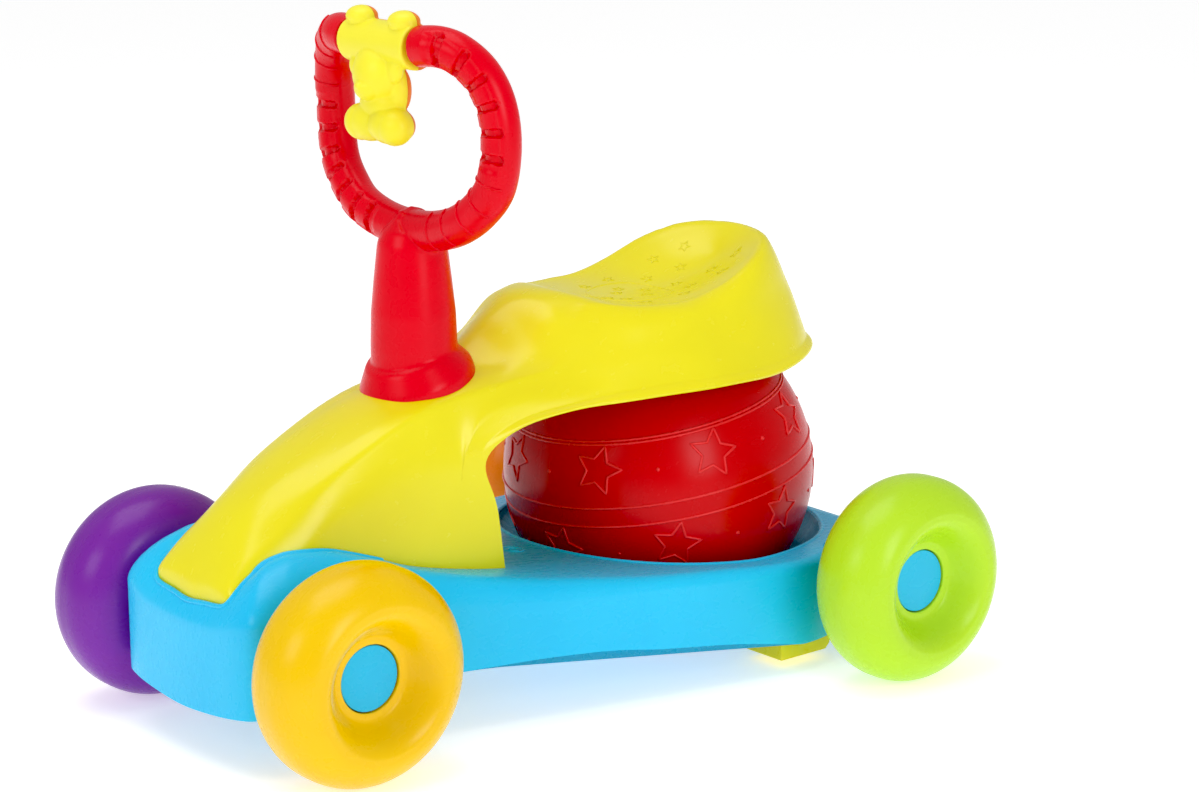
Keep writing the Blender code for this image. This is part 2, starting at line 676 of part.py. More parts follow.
slope = math.radians(slope_degrees)
post_foot = front(0, post_lean_back, 148.4)
half_ring = refine(np.array(ring_line, float), 2, before=mirrored(np.array(ring_line[1])))
whole_ring = [mirrored(p) for p in half_ring[:0:-1]] + list(half_ring)
bar_centre = (0.0, half_ring[-1][1], half_ring[-1][2])


def tilted(verts, centre):
    made = []
    for x, y, z in verts:
        u, v = y - centre[1], z - centre[2]
        made.append(
            (x, centre[1] + u * math.cos(slope) - v * math.sin(slope), centre[2] + u * math.sin(slope) + v * math.cos(slope))
        )
    return made


def handle_solid(name, inset):
    """Post, flange and ring filled in, moved inwards by inset."""
    ring = whole_ring if inset == 0 else whole_ring[1:-1]
    made = add(name + "_ring", *sweep(ring, ring_tube_radius - inset, 12))
    post = [(0, -40), (post_low_radius - inset, -40), (post_low_radius - inset, 20)]
    post += [(post_low_radius - 2.6 - inset, 58), (post_top_radius - inset, 84 - inset)]
    post += [(post_top_radius - 4 - inset, 91 - inset), (post_top_radius - 11 - inset, 96 - inset), (0, 98 - inset)]
    column = add(name + "_post", *lathe(post, 24, post_foot, "Z"))
    combine(made, "UNION", column)
    if inset == 0:
        flare = [
            (0, -24), (post_foot_radius, -24), (post_foot_radius, -3), (post_foot_radius - 1, -1),
            (post_low_radius + 1.2, 12.5), (post_low_radius - 1, 14), (0, 14),
        ]
        verts, faces = lathe(flare, 24, post_foot, "Z")
        flange = add(name + "_flange", tilted(verts, post_foot), faces)
        combine(made, "UNION", flange)
    return made


handle_outer = handle_solid("handle_outer", 0)
handle_inner = handle_solid("handle_inner", handle_wall)
body_outside = add(*body_solid("body_outside", -skirt_gap, 0.0))
bolt_boss = add("bolt_boss", *lathe(rod(12, -30, 34), 16, post_foot, "Z"))
bolt_web = add("bolt_web", *box(tuple(np.add(post_foot, (-27, -3, -30))), tuple(np.add(post_foot, (27, 3, 30)))))
ring_side = front(88, 136, 308)
screw_places = (
    (ring_side, ring_tube_radius), (tuple(mirrored(np.array(ring_side))), ring_tube_radius),
    (front(0, post_lean_back, 196), post_low_radius - 1.9), (front(0, post_lean_back, 226), post_top_radius + 0.5),
)
screw_bosses = []
for number, (place, face) in enumerate(screw_places):
    boss = rod(handle_boss_radius, 2.0 - face, face - 2.0)
    screw_bosses.append(add(f"screw_boss_{number}", *lathe(boss, 12, place, "Y")))
bolt_hole = add("bolt_hole", *lathe(rod(5.6, -57.3, 31.2), 14, post_foot, "Z"))
bar_hole = add("bar_hole", *lathe(rod(grip_bar_radius + fit_gap, -50, 50), 12, bar_centre))
split = [(131, 60), (131, 250), (135, 281), (136, 308), (131, 345), (120.5, 362), (110, 379), (101, 395)]
front_cut = [(y - 0.15, z) for y, z in split] + [(230, 395), (230, 60)]
rear_cut = [(y + 0.15, z) for y, z in split] + [(30, 395), (30, 60)]
screw_depth = 6.0
for half, cut_outline in (("front", front_cut), ("rear", rear_cut)):
    piece = add("handle_" + half, *sweep(whole_ring, ring_tube_radius, 12), handle_red)
    combine(piece, "UNION", handle_outer, bpy.data.objects["handle_outer_post"], bpy.data.objects["handle_outer_flange"])
    combine(piece, "DIFFERENCE", handle_inner)
    combine(piece, "UNION", bolt_web, bolt_boss, *screw_bosses)
    outline_yz = [(front_y + y, wheel_radius + z) for y, z in cut_outline]
    away = add("handle_cut_" + half, *slab(outline_yz, -130, 130, "X"))
    combine(piece, "DIFFERENCE", bolt_hole, bar_hole, away, body_outside)
    for number, (place, face) in enumerate(screw_places):
        hole = [
            (0, -screw_depth - 0.5), (screw_shaft_radius + fit_gap, -screw_depth - 0.5),
            (screw_shaft_radius + fit_gap, face - 5), (screw_head_radius + fit_gap, face - 5),
            (screw_head_radius + fit_gap, face + 9), (0, face + 9),
        ]
        drill = add(f"drill_{half}_{number}", *lathe(hole, 12, place, "Y"))
        combine(piece, "DIFFERENCE", drill)
for number, (place, face) in enumerate(screw_places):
    shape = [
        (0, -screw_depth), (screw_shaft_radius, -screw_depth), (screw_shaft_radius, face - 4.7),
        (screw_head_radius, face - 4.7), (screw_head_radius, face - 2.7), (0, face - 2.7),
    ]
    add(f"handle_screw_{number + 1}", *lathe(shape, 12, place, "Y"), steel_grey, 0.35, 1.0)
add("top_bar", *lathe(rod(grip_bar_radius, -42, 42), 12, bar_centre), steel_grey, 0.25, 1.0)
bolt_shape = [(0, -22), (11, -22), (11, -17), (5, -17), (5, 26), (0, 26)]
add("post_bolt", *lathe(bolt_shape, 12, post_foot, "Z"), steel_grey, 0.35, 1.0)
bolt_way = add("bolt_way", *lathe(rod(5.6, -18.4, 20), 16, post_foot, "Z"))
bolt_seat = add("bolt_seat", *lathe(rod(15, -16.7, 4), 16, post_foot, "Z"))
combine(bolt_seat, "INTERSECT", body_middle)
combine(body_shell, "UNION", bolt_seat)
combine(body_shell, "DIFFERENCE", bolt_way)

# The hanging figure, a front and a back half on the bar


def at_bar(x, y, z):
    return (x, bar_centre[1] + y, bar_centre[2] + z)


limbs = [
    ("head", (0, -7, -14), (26, 20, 21)), ("muzzle", (0, -24, -24), (13, 10, 9)),
    ("ear_l", (25, -3, -10), (8, 7, 11)), ("ear_r", (-25, -3, -10), (8, 7, 11)),
    ("torso", (0, -3, -37), (17, 12, 12)), ("hips", (0, -5, -50), (38, 17, 15)),
    ("paw_l", (21, -2, 14), (12, 12, 9)), ("paw_r", (-21, -2, 14), (12, 12, 9)),
    ("leg_l", (25, -16, -50), (12, 11, 12)), ("leg_r", (-25, -16, -50), (12, 11, 12)),
    ("arm_l", (23, -3, -28), (6, 7, 14)), ("arm_r", (-23, -3, -28), (6, 7, 14)),
]
limb_tools = [add("limb_" + name, *ball_of(at_bar(*centre), radii)) for name, centre, radii in limbs]
sleeve_hole = add("sleeve_hole", *lathe(rod(grip_bar_radius + fit_gap, -50, 50), 12, bar_centre))
figure_screws = (("upper", -19), ("lower", -49))
for half, colour, low, high in (("front", sun_yellow, -0.15, 60), ("back", orange, -60, 0.15)):
    figure = add("figure_" + half, *lathe(rod(sleeve_radius, -sleeve_half_length, sleeve_half_length), 20, bar_centre), colour)
    combine(figure, "UNION", *limb_tools)
    away = add("figure_cut_" + half, *box(at_bar(-60, low, -120), at_bar(60, high, 60)))
    combine(figure, "DIFFERENCE", away, sleeve_hole)
    for word, lift in figure_screws:
        hole = [(0, -8.5), (2.1, -8.5), (2.1, 6), (3.9, 6), (3.9, 40), (0, 40)]
        drill = add(f"figure_drill_{half}_{word}", *lathe(hole, 12, at_bar(0, 0, lift), "Y"))
        combine(figure, "DIFFERENCE", drill)
for word, lift in figure_screws:
    shape = [(0, -8), (1.8, -8), (1.8, 6.3), (3.6, 6.3), (3.6, 8.5), (0, 8.5)]
    add("figure_screw_" + word, *lathe(shape, 12, at_bar(0, 0, lift), "Y"), steel_grey, 0.35, 1.0)

# Parking feet and their pins

foot_outline = [
    (-8, -foot_drop), (foot_length - 4, -foot_drop), (foot_length, 4 - foot_drop), (foot_length, -8),
    (12, 3), (5, 7.5), (-4, 7.5), (-8, 3),
]
foot_outline = [(foot_y + y, foot_z + z) for y, z in foot_outline]
for side, word in ((1, "left"), (-1, "right")):
    a, b = sorted((side * foot_inner_x, side * foot_outer_x))
    foot = add("foot_" + word, *slab(foot_outline, a, b, "X"), sun_yellow)
    bore = add(
        "foot_hole_" + word,
        *lathe(rod(foot_pin_radius + running_gap, foot_inner_x - 5, foot_outer_x + 5), 12, (0, foot_y, foot_z), "X", side),
    )
    combine(foot, "DIFFERENCE", bore)
    pin = rod(foot_pin_radius, foot_inner_x - 4.2, foot_outer_x + 4.2)
    add("foot_pin_" + word, *lathe(pin, 12, (0, foot_y, foot_z), "X", side), steel_grey, 0.25, 1.0)
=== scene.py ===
import json
import math

import bmesh
import bpy
import numpy as np
from mathutils import Matrix, Vector
from mathutils.bvhtree import BVHTree

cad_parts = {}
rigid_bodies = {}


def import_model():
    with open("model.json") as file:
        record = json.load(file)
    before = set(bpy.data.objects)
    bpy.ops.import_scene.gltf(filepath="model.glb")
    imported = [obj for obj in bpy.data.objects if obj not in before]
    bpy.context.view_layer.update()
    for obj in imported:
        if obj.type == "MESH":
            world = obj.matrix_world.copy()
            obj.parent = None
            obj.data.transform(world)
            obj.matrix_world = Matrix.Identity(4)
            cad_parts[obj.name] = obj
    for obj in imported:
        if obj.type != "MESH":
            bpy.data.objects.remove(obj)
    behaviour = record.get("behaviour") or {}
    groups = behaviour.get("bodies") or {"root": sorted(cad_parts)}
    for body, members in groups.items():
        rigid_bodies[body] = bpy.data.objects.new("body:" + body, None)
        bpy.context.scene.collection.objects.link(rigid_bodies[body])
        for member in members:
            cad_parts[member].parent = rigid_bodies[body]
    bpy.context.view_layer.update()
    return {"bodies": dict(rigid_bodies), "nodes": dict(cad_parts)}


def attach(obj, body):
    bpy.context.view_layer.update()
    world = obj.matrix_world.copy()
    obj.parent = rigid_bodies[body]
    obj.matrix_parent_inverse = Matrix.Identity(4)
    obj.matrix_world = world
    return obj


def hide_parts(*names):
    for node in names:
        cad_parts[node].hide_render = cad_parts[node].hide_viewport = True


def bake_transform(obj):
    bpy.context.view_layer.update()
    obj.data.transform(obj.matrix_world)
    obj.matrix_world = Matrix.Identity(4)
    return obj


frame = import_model()
print("frame loaded with", len(frame["nodes"]), "nodes")

mm = 0.001
frontY = -198.3
rearY = 198.3
hubHeight = 70.0
ballMiddle = (0.0, 142.6, 119.0)


def fromAxle(x, y, z):
    return (x, frontY + y, hubHeight + z)


def fromBall(x, y, z):
    return (x, ballMiddle[1] + y, hubHeight + z)


def guide(frontPoints, ballPoints=()):
    # a line through points measured from the front axle, then from the middle of the ball
    return [fromAxle(*p) for p in frontPoints] + [fromBall(*p) for p in ballPoints]


# Shared shaping tools

def flipX(points):
    return np.asarray(points, float) * np.array([-1.0, 1.0, 1.0])


def between(rows, steps, before=None, after=None):
    # fills in each span with a curve whose tangents are held back, so it never overshoots
    grid = [rows[0] * 2 - rows[1] if before is None else before]
    grid += list(rows)
    grid += [rows[-1] * 2 - rows[-2] if after is None else after]
    spans = [grid[i + 1] - grid[i] for i in range(len(grid) - 1)]
    slopes = []
    for a, b in zip(spans[:-1], spans[1:]):
        least = 2.5 * np.minimum(abs(a), abs(b))
        slopes.append(np.where(a * b > 0, np.clip((a + b) / 2, -least, least), 0.0))
    filled = []
    for i in range(len(rows) - 1):
        for k in range(steps):
            t = k / steps
            filled.append((2 * t**3 - 3 * t**2 + 1) * rows[i] + (t**3 - 2 * t**2 + t) * slopes[i]
                          + (3 * t**2 - 2 * t**3) * rows[i + 1] + (t**3 - t**2) * slopes[i + 1])
    filled.append(rows[-1])
    return np.array(filled)


def easeIn(value, low, high):
    t = np.clip((value - low) / (high - low), 0.0, 1.0)
    return t * t * (3 - 2 * t)


def travelledAlong(path):
    return np.concatenate([[0], np.cumsum(np.linalg.norm(np.diff(path, axis=0), axis=1))])


def ringFaces(around, levels):
    # quads between closed rings of points that follow one another
    return [(k * around + i, k * around + (i + 1) % around, (k + 1) * around + (i + 1) % around, (k + 1) * around + i)
            for k in range(levels - 1) for i in range(around)]


def placed(name, data):
    piece = bpy.data.objects.new(name, data)
    bpy.context.scene.collection.objects.link(piece)
    return piece


def newPiece(name, points, faces, tidy=True):
    mesh = bpy.data.meshes.new(name)
    mesh.from_pydata((np.asarray(points, float) * mm).tolist(), [], [tuple(int(i) for i in f) for f in faces])
    if tidy:
        shape = bmesh.new()
        shape.from_mesh(mesh)
        bmesh.ops.remove_doubles(shape, verts=shape.verts, dist=2e-6)
        bmesh.ops.dissolve_degenerate(shape, dist=1e-7, edges=shape.edges)
        bmesh.ops.recalc_face_normals(shape, faces=shape.faces)
        shape.to_mesh(mesh)
        shape.free()
    mesh.shade_smooth()
    return placed(name, mesh)


def settle(piece, creaseAngle=None):
    # turns what the modifiers make into the piece's own plain mesh
    graph = bpy.context.evaluated_depsgraph_get()
    mesh = bpy.data.meshes.new_from_object(piece.evaluated_get(graph), preserve_all_data_layers=True, depsgraph=graph)
    piece.modifiers.clear()
    piece.data = mesh
    mesh.name = piece.name
    mesh.shade_smooth()
    if creaseAngle is not None:
        mesh.set_sharp_from_angle(angle=math.radians(creaseAngle))
    return piece


def carve(piece, operation, tools, creaseAngle=32):
    for tool in tools:
        step = piece.modifiers.new("carve", "BOOLEAN")
        step.operation = operation
        step.solver = "MANIFOLD"
        step.object = tool
    settle(piece, creaseAngle)
    for tool in tools:
        bpy.data.objects.remove(tool)
    return piece


def joinPieces(name, pieces):
    shape = bmesh.new()
    for piece in pieces:
        shape.from_mesh(piece.data)
        bpy.data.objects.remove(piece)
    mesh = bpy.data.meshes.new(name)
    shape.to_mesh(mesh)
    shape.free()
    mesh.shade_smooth()
    return placed(name, mesh)


def roundEdges(piece, width, segments, angle):
    bevel = piece.modifiers.new("bevel", "BEVEL")
    bevel.width = width * mm
    bevel.segments = segments
    bevel.angle_limit = math.radians(angle)
    return settle(piece, 40)


def meltForms(name, forms, voxel, passes):
    # makes one skin of overlapping forms and softens its inner corners
    piece = joinPieces(name, forms)
    skin = piece.modifiers.new("skin", "REMESH")
    skin.mode = "VOXEL"
    skin.voxel_size = voxel * mm
    ease = piece.modifiers.new("ease", "SMOOTH")
    ease.factor = 0.5
    ease.iterations = passes
    return settle(piece)


def softCorners(corners, steps=4, closed=True):
    # a line of (a, b) or (a, b, rounding) points with its corners rounded
    made = []
    for k, corner in enumerate(corners):
        here = np.array(corner[:2], float)
        size = corner[2] if len(corner) > 2 else 0.0
        if size == 0 or (not closed and k in (0, len(corners) - 1)):
            made.append(tuple(here))
            continue
        back = np.array(corners[k - 1][:2], float) - here
        on = np.array(corners[(k + 1) % len(corners)][:2], float) - here
        lengthBack, lengthOn = np.linalg.norm(back), np.linalg.norm(on)
        back /= lengthBack
        on /= lengthOn
        angle = math.acos(float(np.clip(back @ on, -1, 1)))
        reach = min(size / max(math.tan(angle / 2), 0.05), 0.48 * lengthBack, 0.48 * lengthOn)
        start, end = here + back * reach, here + on * reach
        for t in np.linspace(0, 1, steps + 1):
            made.append(tuple((1 - t) ** 2 * start + 2 * t * (1 - t) * here + t * t * end))
    return made


def turned(name, profile, steps, centre, axis="X", side=1):
    # spins a closed (radius, along) line
    count = len(profile)
    angles = 2 * math.pi * np.arange(steps) / steps - math.pi / 2
    radii = np.array([p[0] for p in profile])
    along = np.array([p[1] for p in profile]) * side
    c, s = np.outer(np.cos(angles), radii), np.outer(np.sin(angles), radii)
    a = np.broadcast_to(along, c.shape)
    grid = {"X": (a, c, s), "Y": (c, a, s), "Z": (c, s, a)}[axis]
    points = np.stack(grid, axis=2).reshape(-1, 3) + np.array(centre)
    faces = []
    for i in range(steps):
        j = (i + 1) % steps
        for k in range(count):
            n = (k + 1) % count
            if profile[k][0] > 0 or profile[n][0] > 0:
                faces.append((i * count + k, i * count + n, j * count + n, j * count + k))
    return newPiece(name, points, faces)


def slab(name, outline, low, high, axis="Z"):
    n = len(outline)
    points = []
    for level in (low, high):
        for u, v in outline:
            points.append({"X": (level, u, v), "Y": (u, level, v), "Z": (u, v, level)}[axis])
    faces = [tuple(range(n)), tuple(range(n, 2 * n))]
    faces += [(i, (i + 1) % n, n + (i + 1) % n, n + i) for i in range(n)]
    return newPiece(name, points, faces)


def block(name, low, high):
    return slab(name, [(low[0], low[1]), (high[0], low[1]), (high[0], high[1]), (low[0], high[1])], low[2], high[2])


def tubeAlong(name, path, radius, sides, endRounding=0.0):
    path = np.array(path, float)
    ahead = np.gradient(path, axis=0)
    ahead /= np.linalg.norm(ahead, axis=1)[:, None]
    rings = [(p, a, radius) for p, a in zip(path, ahead)]
    if endRounding > 0:
        first, last = rings[0], rings[-1]
        caps = [(endRounding * (1 - math.cos(t)), radius - endRounding * (1 - math.sin(t))) for t in (0.3, 0.7, 1.1)]
        rings = [(first[0] + first[1] * d, first[1], r) for d, r in caps] + rings[2:-2]
        rings += [(last[0] - last[1] * d, last[1], r) for d, r in caps[::-1]]
        rings = [(first[0], first[1], radius - endRounding)] + rings + [(last[0], last[1], radius - endRounding)]
    points = []
    for middle, forward, r in rings:
        across = np.cross(forward, (0.0, 1.0, 0.0))
        across /= np.linalg.norm(across)
        up = np.cross(across, forward)
        for i in range(sides):
            turn = 2 * math.pi * i / sides
            points.append(middle + r * (math.cos(turn) * across + math.sin(turn) * up))
    faces = ringFaces(sides, len(rings))
    faces.append(tuple(range(sides)))
    faces.append(tuple(range(len(points) - sides, len(points))))
    return newPiece(name, points, faces)


def pointVectors(mesh, key):
    values = np.zeros(len(mesh.vertices) * 3)
    mesh.vertices.foreach_get(key, values)
    return values.reshape(-1, 3)


def markEdges(piece, softest=120.0, sharpest=520.0):
    # stores how strongly each point stands proud, so that the finish can be rubbed paler there
    mesh = piece.data
    co, normal = pointVectors(mesh, "co"), pointVectors(mesh, "normal")
    count = len(co)
    ends = np.zeros(len(mesh.edges) * 2, int)
    mesh.edges.foreach_get("vertices", ends)
    a, b = ends.reshape(-1, 2).T
    step = co[b] - co[a]
    square = (step**2).sum(axis=1) + 1e-12
    bend, seen = np.zeros(count), np.zeros(count)
    np.add.at(bend, a, -2 * (normal[a] * step).sum(axis=1) / square)
    np.add.at(bend, b, 2 * (normal[b] * step).sum(axis=1) / square)
    np.add.at(seen, a, 1)
    np.add.at(seen, b, 1)
    bend /= np.maximum(seen, 1)
    rub = np.clip((bend - softest) / (sharpest - softest), 0, 1)
    layer = mesh.attributes.get("rub") or mesh.attributes.new("rub", "FLOAT", "POINT")
    layer.data.foreach_set("value", rub.astype(np.float32))
    return piece


# Finishes

def setInputs(item, values):
    for socket, value in values.items():
        item.inputs[socket].default_value = value


def newFinish(name):
    finish = bpy.data.materials.new(name)
    finish.use_nodes = True
    return finish, finish.node_tree, finish.node_tree.nodes["Principled BSDF"]


def addBump(tree, height, strength, distance, under=None):
    bump = tree.nodes.new("ShaderNodeBump")
    setInputs(bump, {"Strength": strength, "Distance": distance})
    tree.links.new(height, bump.inputs["Height"])
    if under:
        tree.links.new(under, bump.inputs["Normal"])
    return bump.outputs["Normal"]


def mixColours(tree, factor, first, second):
    mix = tree.nodes.new("ShaderNodeMix")
    mix.data_type = "RGBA"
    if isinstance(factor, float):
        mix.inputs[0].default_value = factor
    else:
        tree.links.new(factor, mix.inputs[0])
    for socket, value in ((mix.inputs[6], first), (mix.inputs[7], second)):
        if isinstance(value, tuple):
            socket.default_value = (*value, 1.0)
        else:
            tree.links.new(value, socket)
    return mix.outputs[2]


def remap(tree, value, low, high, toLow, toHigh):
    node = tree.nodes.new("ShaderNodeMapRange")
    for socket, number in zip(node.inputs[1:5], (low, high, toLow, toHigh)):
        socket.default_value = number
    tree.links.new(value, node.inputs[0])
    return node.outputs[0]


def multiply(tree, first, second, operation="MULTIPLY"):
    node = tree.nodes.new("ShaderNodeMath")
    node.operation = operation
    for socket, value in zip(node.inputs, (first, second)):
        if isinstance(value, float):
            socket.default_value = value
        else:
            tree.links.new(value, socket)
    return node.outputs[0]


def noiseOf(tree, scale, detail=2.0, stretch=None):
    place = tree.nodes.new("ShaderNodeTexCoord")
    noise = tree.nodes.new("ShaderNodeTexNoise")
    setInputs(noise, {"Scale": scale, "Detail": detail})
    source = place.outputs["Object"]
    if stretch:
        mapping = tree.nodes.new("ShaderNodeMapping")
        mapping.inputs["Scale"].default_value = stretch
        tree.links.new(source, mapping.inputs["Vector"])
        source = mapping.outputs["Vector"]
    tree.links.new(source, noise.inputs["Vector"])
    return noise.outputs["Fac"]


def mouldedPlastic(name, look):
    # glossy moulded plastic: drifting tone, a slight skin texture, fine handling scratches and rubbed edges
    finish, tree, surface = newFinish(name)
    drift = remap(tree, noiseOf(tree, look["driftScale"], 3.0), 0.3, 0.7, 0.0, 1.0)
    tone = mixColours(tree, drift, look["colour"], look["deeper"])
    speck = remap(tree, noiseOf(tree, look["speckScale"], 3.0), 0.64, 0.80, 0.0, look["speckAmount"])
    tone = mixColours(tree, speck, tone, look["pale"])
    rubbed = tree.nodes.new("ShaderNodeAttribute")
    rubbed.attribute_name = "rub"
    patchy = remap(tree, noiseOf(tree, look["patchScale"], 4.0), 0.35, 0.7, 0.0, look["rubAmount"])
    rub = multiply(tree, rubbed.outputs["Fac"], patchy)
    tone = mixColours(tree, rub, tone, look["pale"])
    tree.links.new(tone, surface.inputs["Base Color"])
    scratch = noiseOf(tree, look["scratchScale"], 5.0, look["scratchStretch"])
    rough = remap(tree, scratch, 0.45, 0.75, look["rough"], look["rough"] + look["scratchRough"])
    rough = multiply(tree, rough, multiply(tree, rub, look["rubRough"]), "ADD")
    tree.links.new(rough, surface.inputs["Roughness"])
    setInputs(surface, {"Specular IOR Level": look["shine"], "Subsurface Weight": look["glow"],
              "Subsurface Radius": look["glowRadius"], "Subsurface Scale": look["glowDepth"],
              "Coat Weight": look["coat"], "Coat Roughness": 0.12})
    skin = addBump(tree, noiseOf(tree, look["skinScale"], 2.0), look["skinStrength"], look["skinDepth"])
    grain = addBump(tree, noiseOf(tree, look["speckScale"], 2.0), look["grainStrength"], look["grainDepth"], skin)
    tree.links.new(grain, surface.inputs["Normal"])
    return finish


def drawnSteel(name, look):
    # bright steel with turning marks and a little dull film
    finish, tree, surface = newFinish(name)
    surface.inputs["Metallic"].default_value = 1.0
    film = remap(tree, noiseOf(tree, look["filmScale"], 5.0), 0.35, 0.75, 0.0, 1.0)
    tree.links.new(mixColours(tree, film, look["bright"], look["dull"]), surface.inputs["Base Color"])
    dullness = remap(tree, noiseOf(tree, look["dullScale"], 4.0), 0.3, 0.7, *look["rough"])
    tree.links.new(dullness, surface.inputs["Roughness"])
    marks = addBump(tree, noiseOf(tree, look["markScale"], 2.0, look["stretch"]), 0.12, 0.0001)
    tree.links.new(marks, surface.inputs["Normal"])
    return finish


plasticBase = {
    "driftScale": 9.0, "speckScale": 420.0, "speckAmount": 0.04, "patchScale": 150.0, "rubAmount": 0.10,
    "scratchScale": 70.0, "scratchStretch": (2.5, 1.0, 1.6), "scratchRough": 0.05, "rough": 0.27, "rubRough": 0.35,
    "shine": 0.30, "coat": 0.0, "glow": 0.06, "glowRadius": (1.0, 0.7, 0.4),
    "glowDepth": 0.004, "skinDepth": 0.0006, "grainDepth": 0.00012,     # metres
    "skinScale": 30.0, "skinStrength": 0.010, "grainStrength": 0.010,
}


def plasticLook(slot, colour, deeper, pale, **changes):
    return dict(plasticBase, slot=slot, colour=colour, deeper=deeper, pale=pale, **changes)


finishes = {
    "saddleYellow": plasticLook("body_yellow", (0.85, 0.77, 0.014), (0.80, 0.71, 0.009),
        (0.94, 0.90, 0.35), shine=0.40, rough=0.24),
    "deckBlue": plasticLook("base_blue", (0.022, 0.56, 0.90), (0.015, 0.51, 0.86), (0.35, 0.78, 0.96)),
    "ballRed": plasticLook("ball_red", (0.64, 0.001, 0.004), (0.56, 0.001, 0.003),
        (0.80, 0.12, 0.10), rough=0.25, shine=0.20, glow=0.03),
    # the marks' red is painted paler than the ball: a painted highlight standing in for light on the raised stars,
    # bands and dots
    "ballMark": plasticLook("ball_red", (0.80, 0.030, 0.032), (0.74, 0.022, 0.024),
        (0.88, 0.20, 0.18), rough=0.26, glow=0.03),
    "handleRed": plasticLook("handle_red", (0.76, 0.001, 0.014), (0.68, 0.001, 0.010),
        (0.88, 0.20, 0.18), shine=0.20),
    "capBlue": plasticLook("cap_blue", (0.020, 0.51, 0.84), (0.015, 0.46, 0.80), (0.35, 0.76, 0.95)),
    "wheelAmber": plasticLook("wheel_amber", (0.86, 0.57, 0.003), (0.82, 0.50, 0.002), (0.94, 0.78, 0.30)),
    "wheelViolet": plasticLook("wheel_violet", (0.20, 0.022, 0.36), (0.16, 0.015, 0.30), (0.42, 0.20, 0.60)),
    "wheelLime": plasticLook("wheel_lime", (0.49, 0.76, 0.030), (0.43, 0.70, 0.022), (0.74, 0.90, 0.36)),
    "wheelOrange": plasticLook("wheel_orange", (0.88, 0.22, 0.004), (0.80, 0.18, 0.003), (0.94, 0.52, 0.26)),
    "figureYellow": plasticLook("figure_yellow", (0.90, 0.83, 0.05), (0.85, 0.76, 0.03),
        (0.96, 0.93, 0.5), rough=0.36),
    "figureOrange": plasticLook("figure_orange", (0.90, 0.25, 0.01), (0.82, 0.20, 0.008),
        (0.94, 0.52, 0.26), rough=0.36),
    "footYellow": plasticLook("foot_yellow", (0.84, 0.72, 0.01), (0.78, 0.64, 0.01), (0.95, 0.90, 0.45)),
    "nylonWhite": plasticLook("white_nylon", (0.80, 0.80, 0.76), (0.74, 0.74, 0.69), (0.9, 0.9, 0.88), rough=0.42),
}
paint = {name: mouldedPlastic(name, look) for name, look in finishes.items()}
steelLook = {"bright": (0.66, 0.67, 0.69), "dull": (0.42, 0.43, 0.45), "filmScale": 90.0, "dullScale": 200.0,
             "rough": (0.18, 0.38), "markScale": 700.0, "stretch": (0.15, 4.0, 4.0)}
paint["steel"] = drawnSteel("steel", steelLook)
print("finishes ready:", len(paint))
slotOf = {name: look["slot"] for name, look in finishes.items()}
slotOf["steel"] = "steel"


def dress(piece, finish, body, replaced=()):
    piece.data.materials.clear()
    piece.data.materials.append(paint[finish])
    if isinstance(body, tuple):
        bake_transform(piece)
    else:
        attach(piece, body)
    if replaced:
        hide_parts(*replaced)
    return piece


# Geometry Nodes: beads laid on a surface, and marks set round a ball

def newTree(name, inputs):
    tree = bpy.data.node_groups.new(name, "GeometryNodeTree")
    sockets = {}
    tree.interface.new_socket("Geometry", in_out="INPUT", socket_type="NodeSocketGeometry")
    for label, kind, value in inputs:
        made = tree.interface.new_socket(label, in_out="INPUT", socket_type="NodeSocket" + kind)
        if value is not None:
            made.default_value = value
        sockets[label] = made.identifier
    tree.interface.new_socket("Geometry", in_out="OUTPUT", socket_type="NodeSocketGeometry")
    start = tree.nodes.new("NodeGroupInput")
    end = tree.nodes.new("NodeGroupOutput")
    return tree, sockets, start, end


def node(tree, kind, links=None, values=None, **settings):
    made = tree.nodes.new(kind)
    for key, value in settings.items():
        setattr(made, key, value)
    setInputs(made, values or {})
    for key, source in (links or {}).items():
        tree.links.new(source, made.inputs[key])
    return made


def vectorNode(tree, operation, links):
    return node(tree, "ShaderNodeVectorMath", links, operation=operation).outputs[0]


def growWith(piece, tree, sockets, values):
    # runs a Geometry Nodes tree on a piece and keeps the result as its plain mesh
    step = piece.modifiers.new(tree.name, "NODES")
    step.node_group = tree
    for label, value in values.items():
        step[sockets[label]] = value
    piece.update_tag()
    bpy.context.view_layer.update()
    return settle(piece)


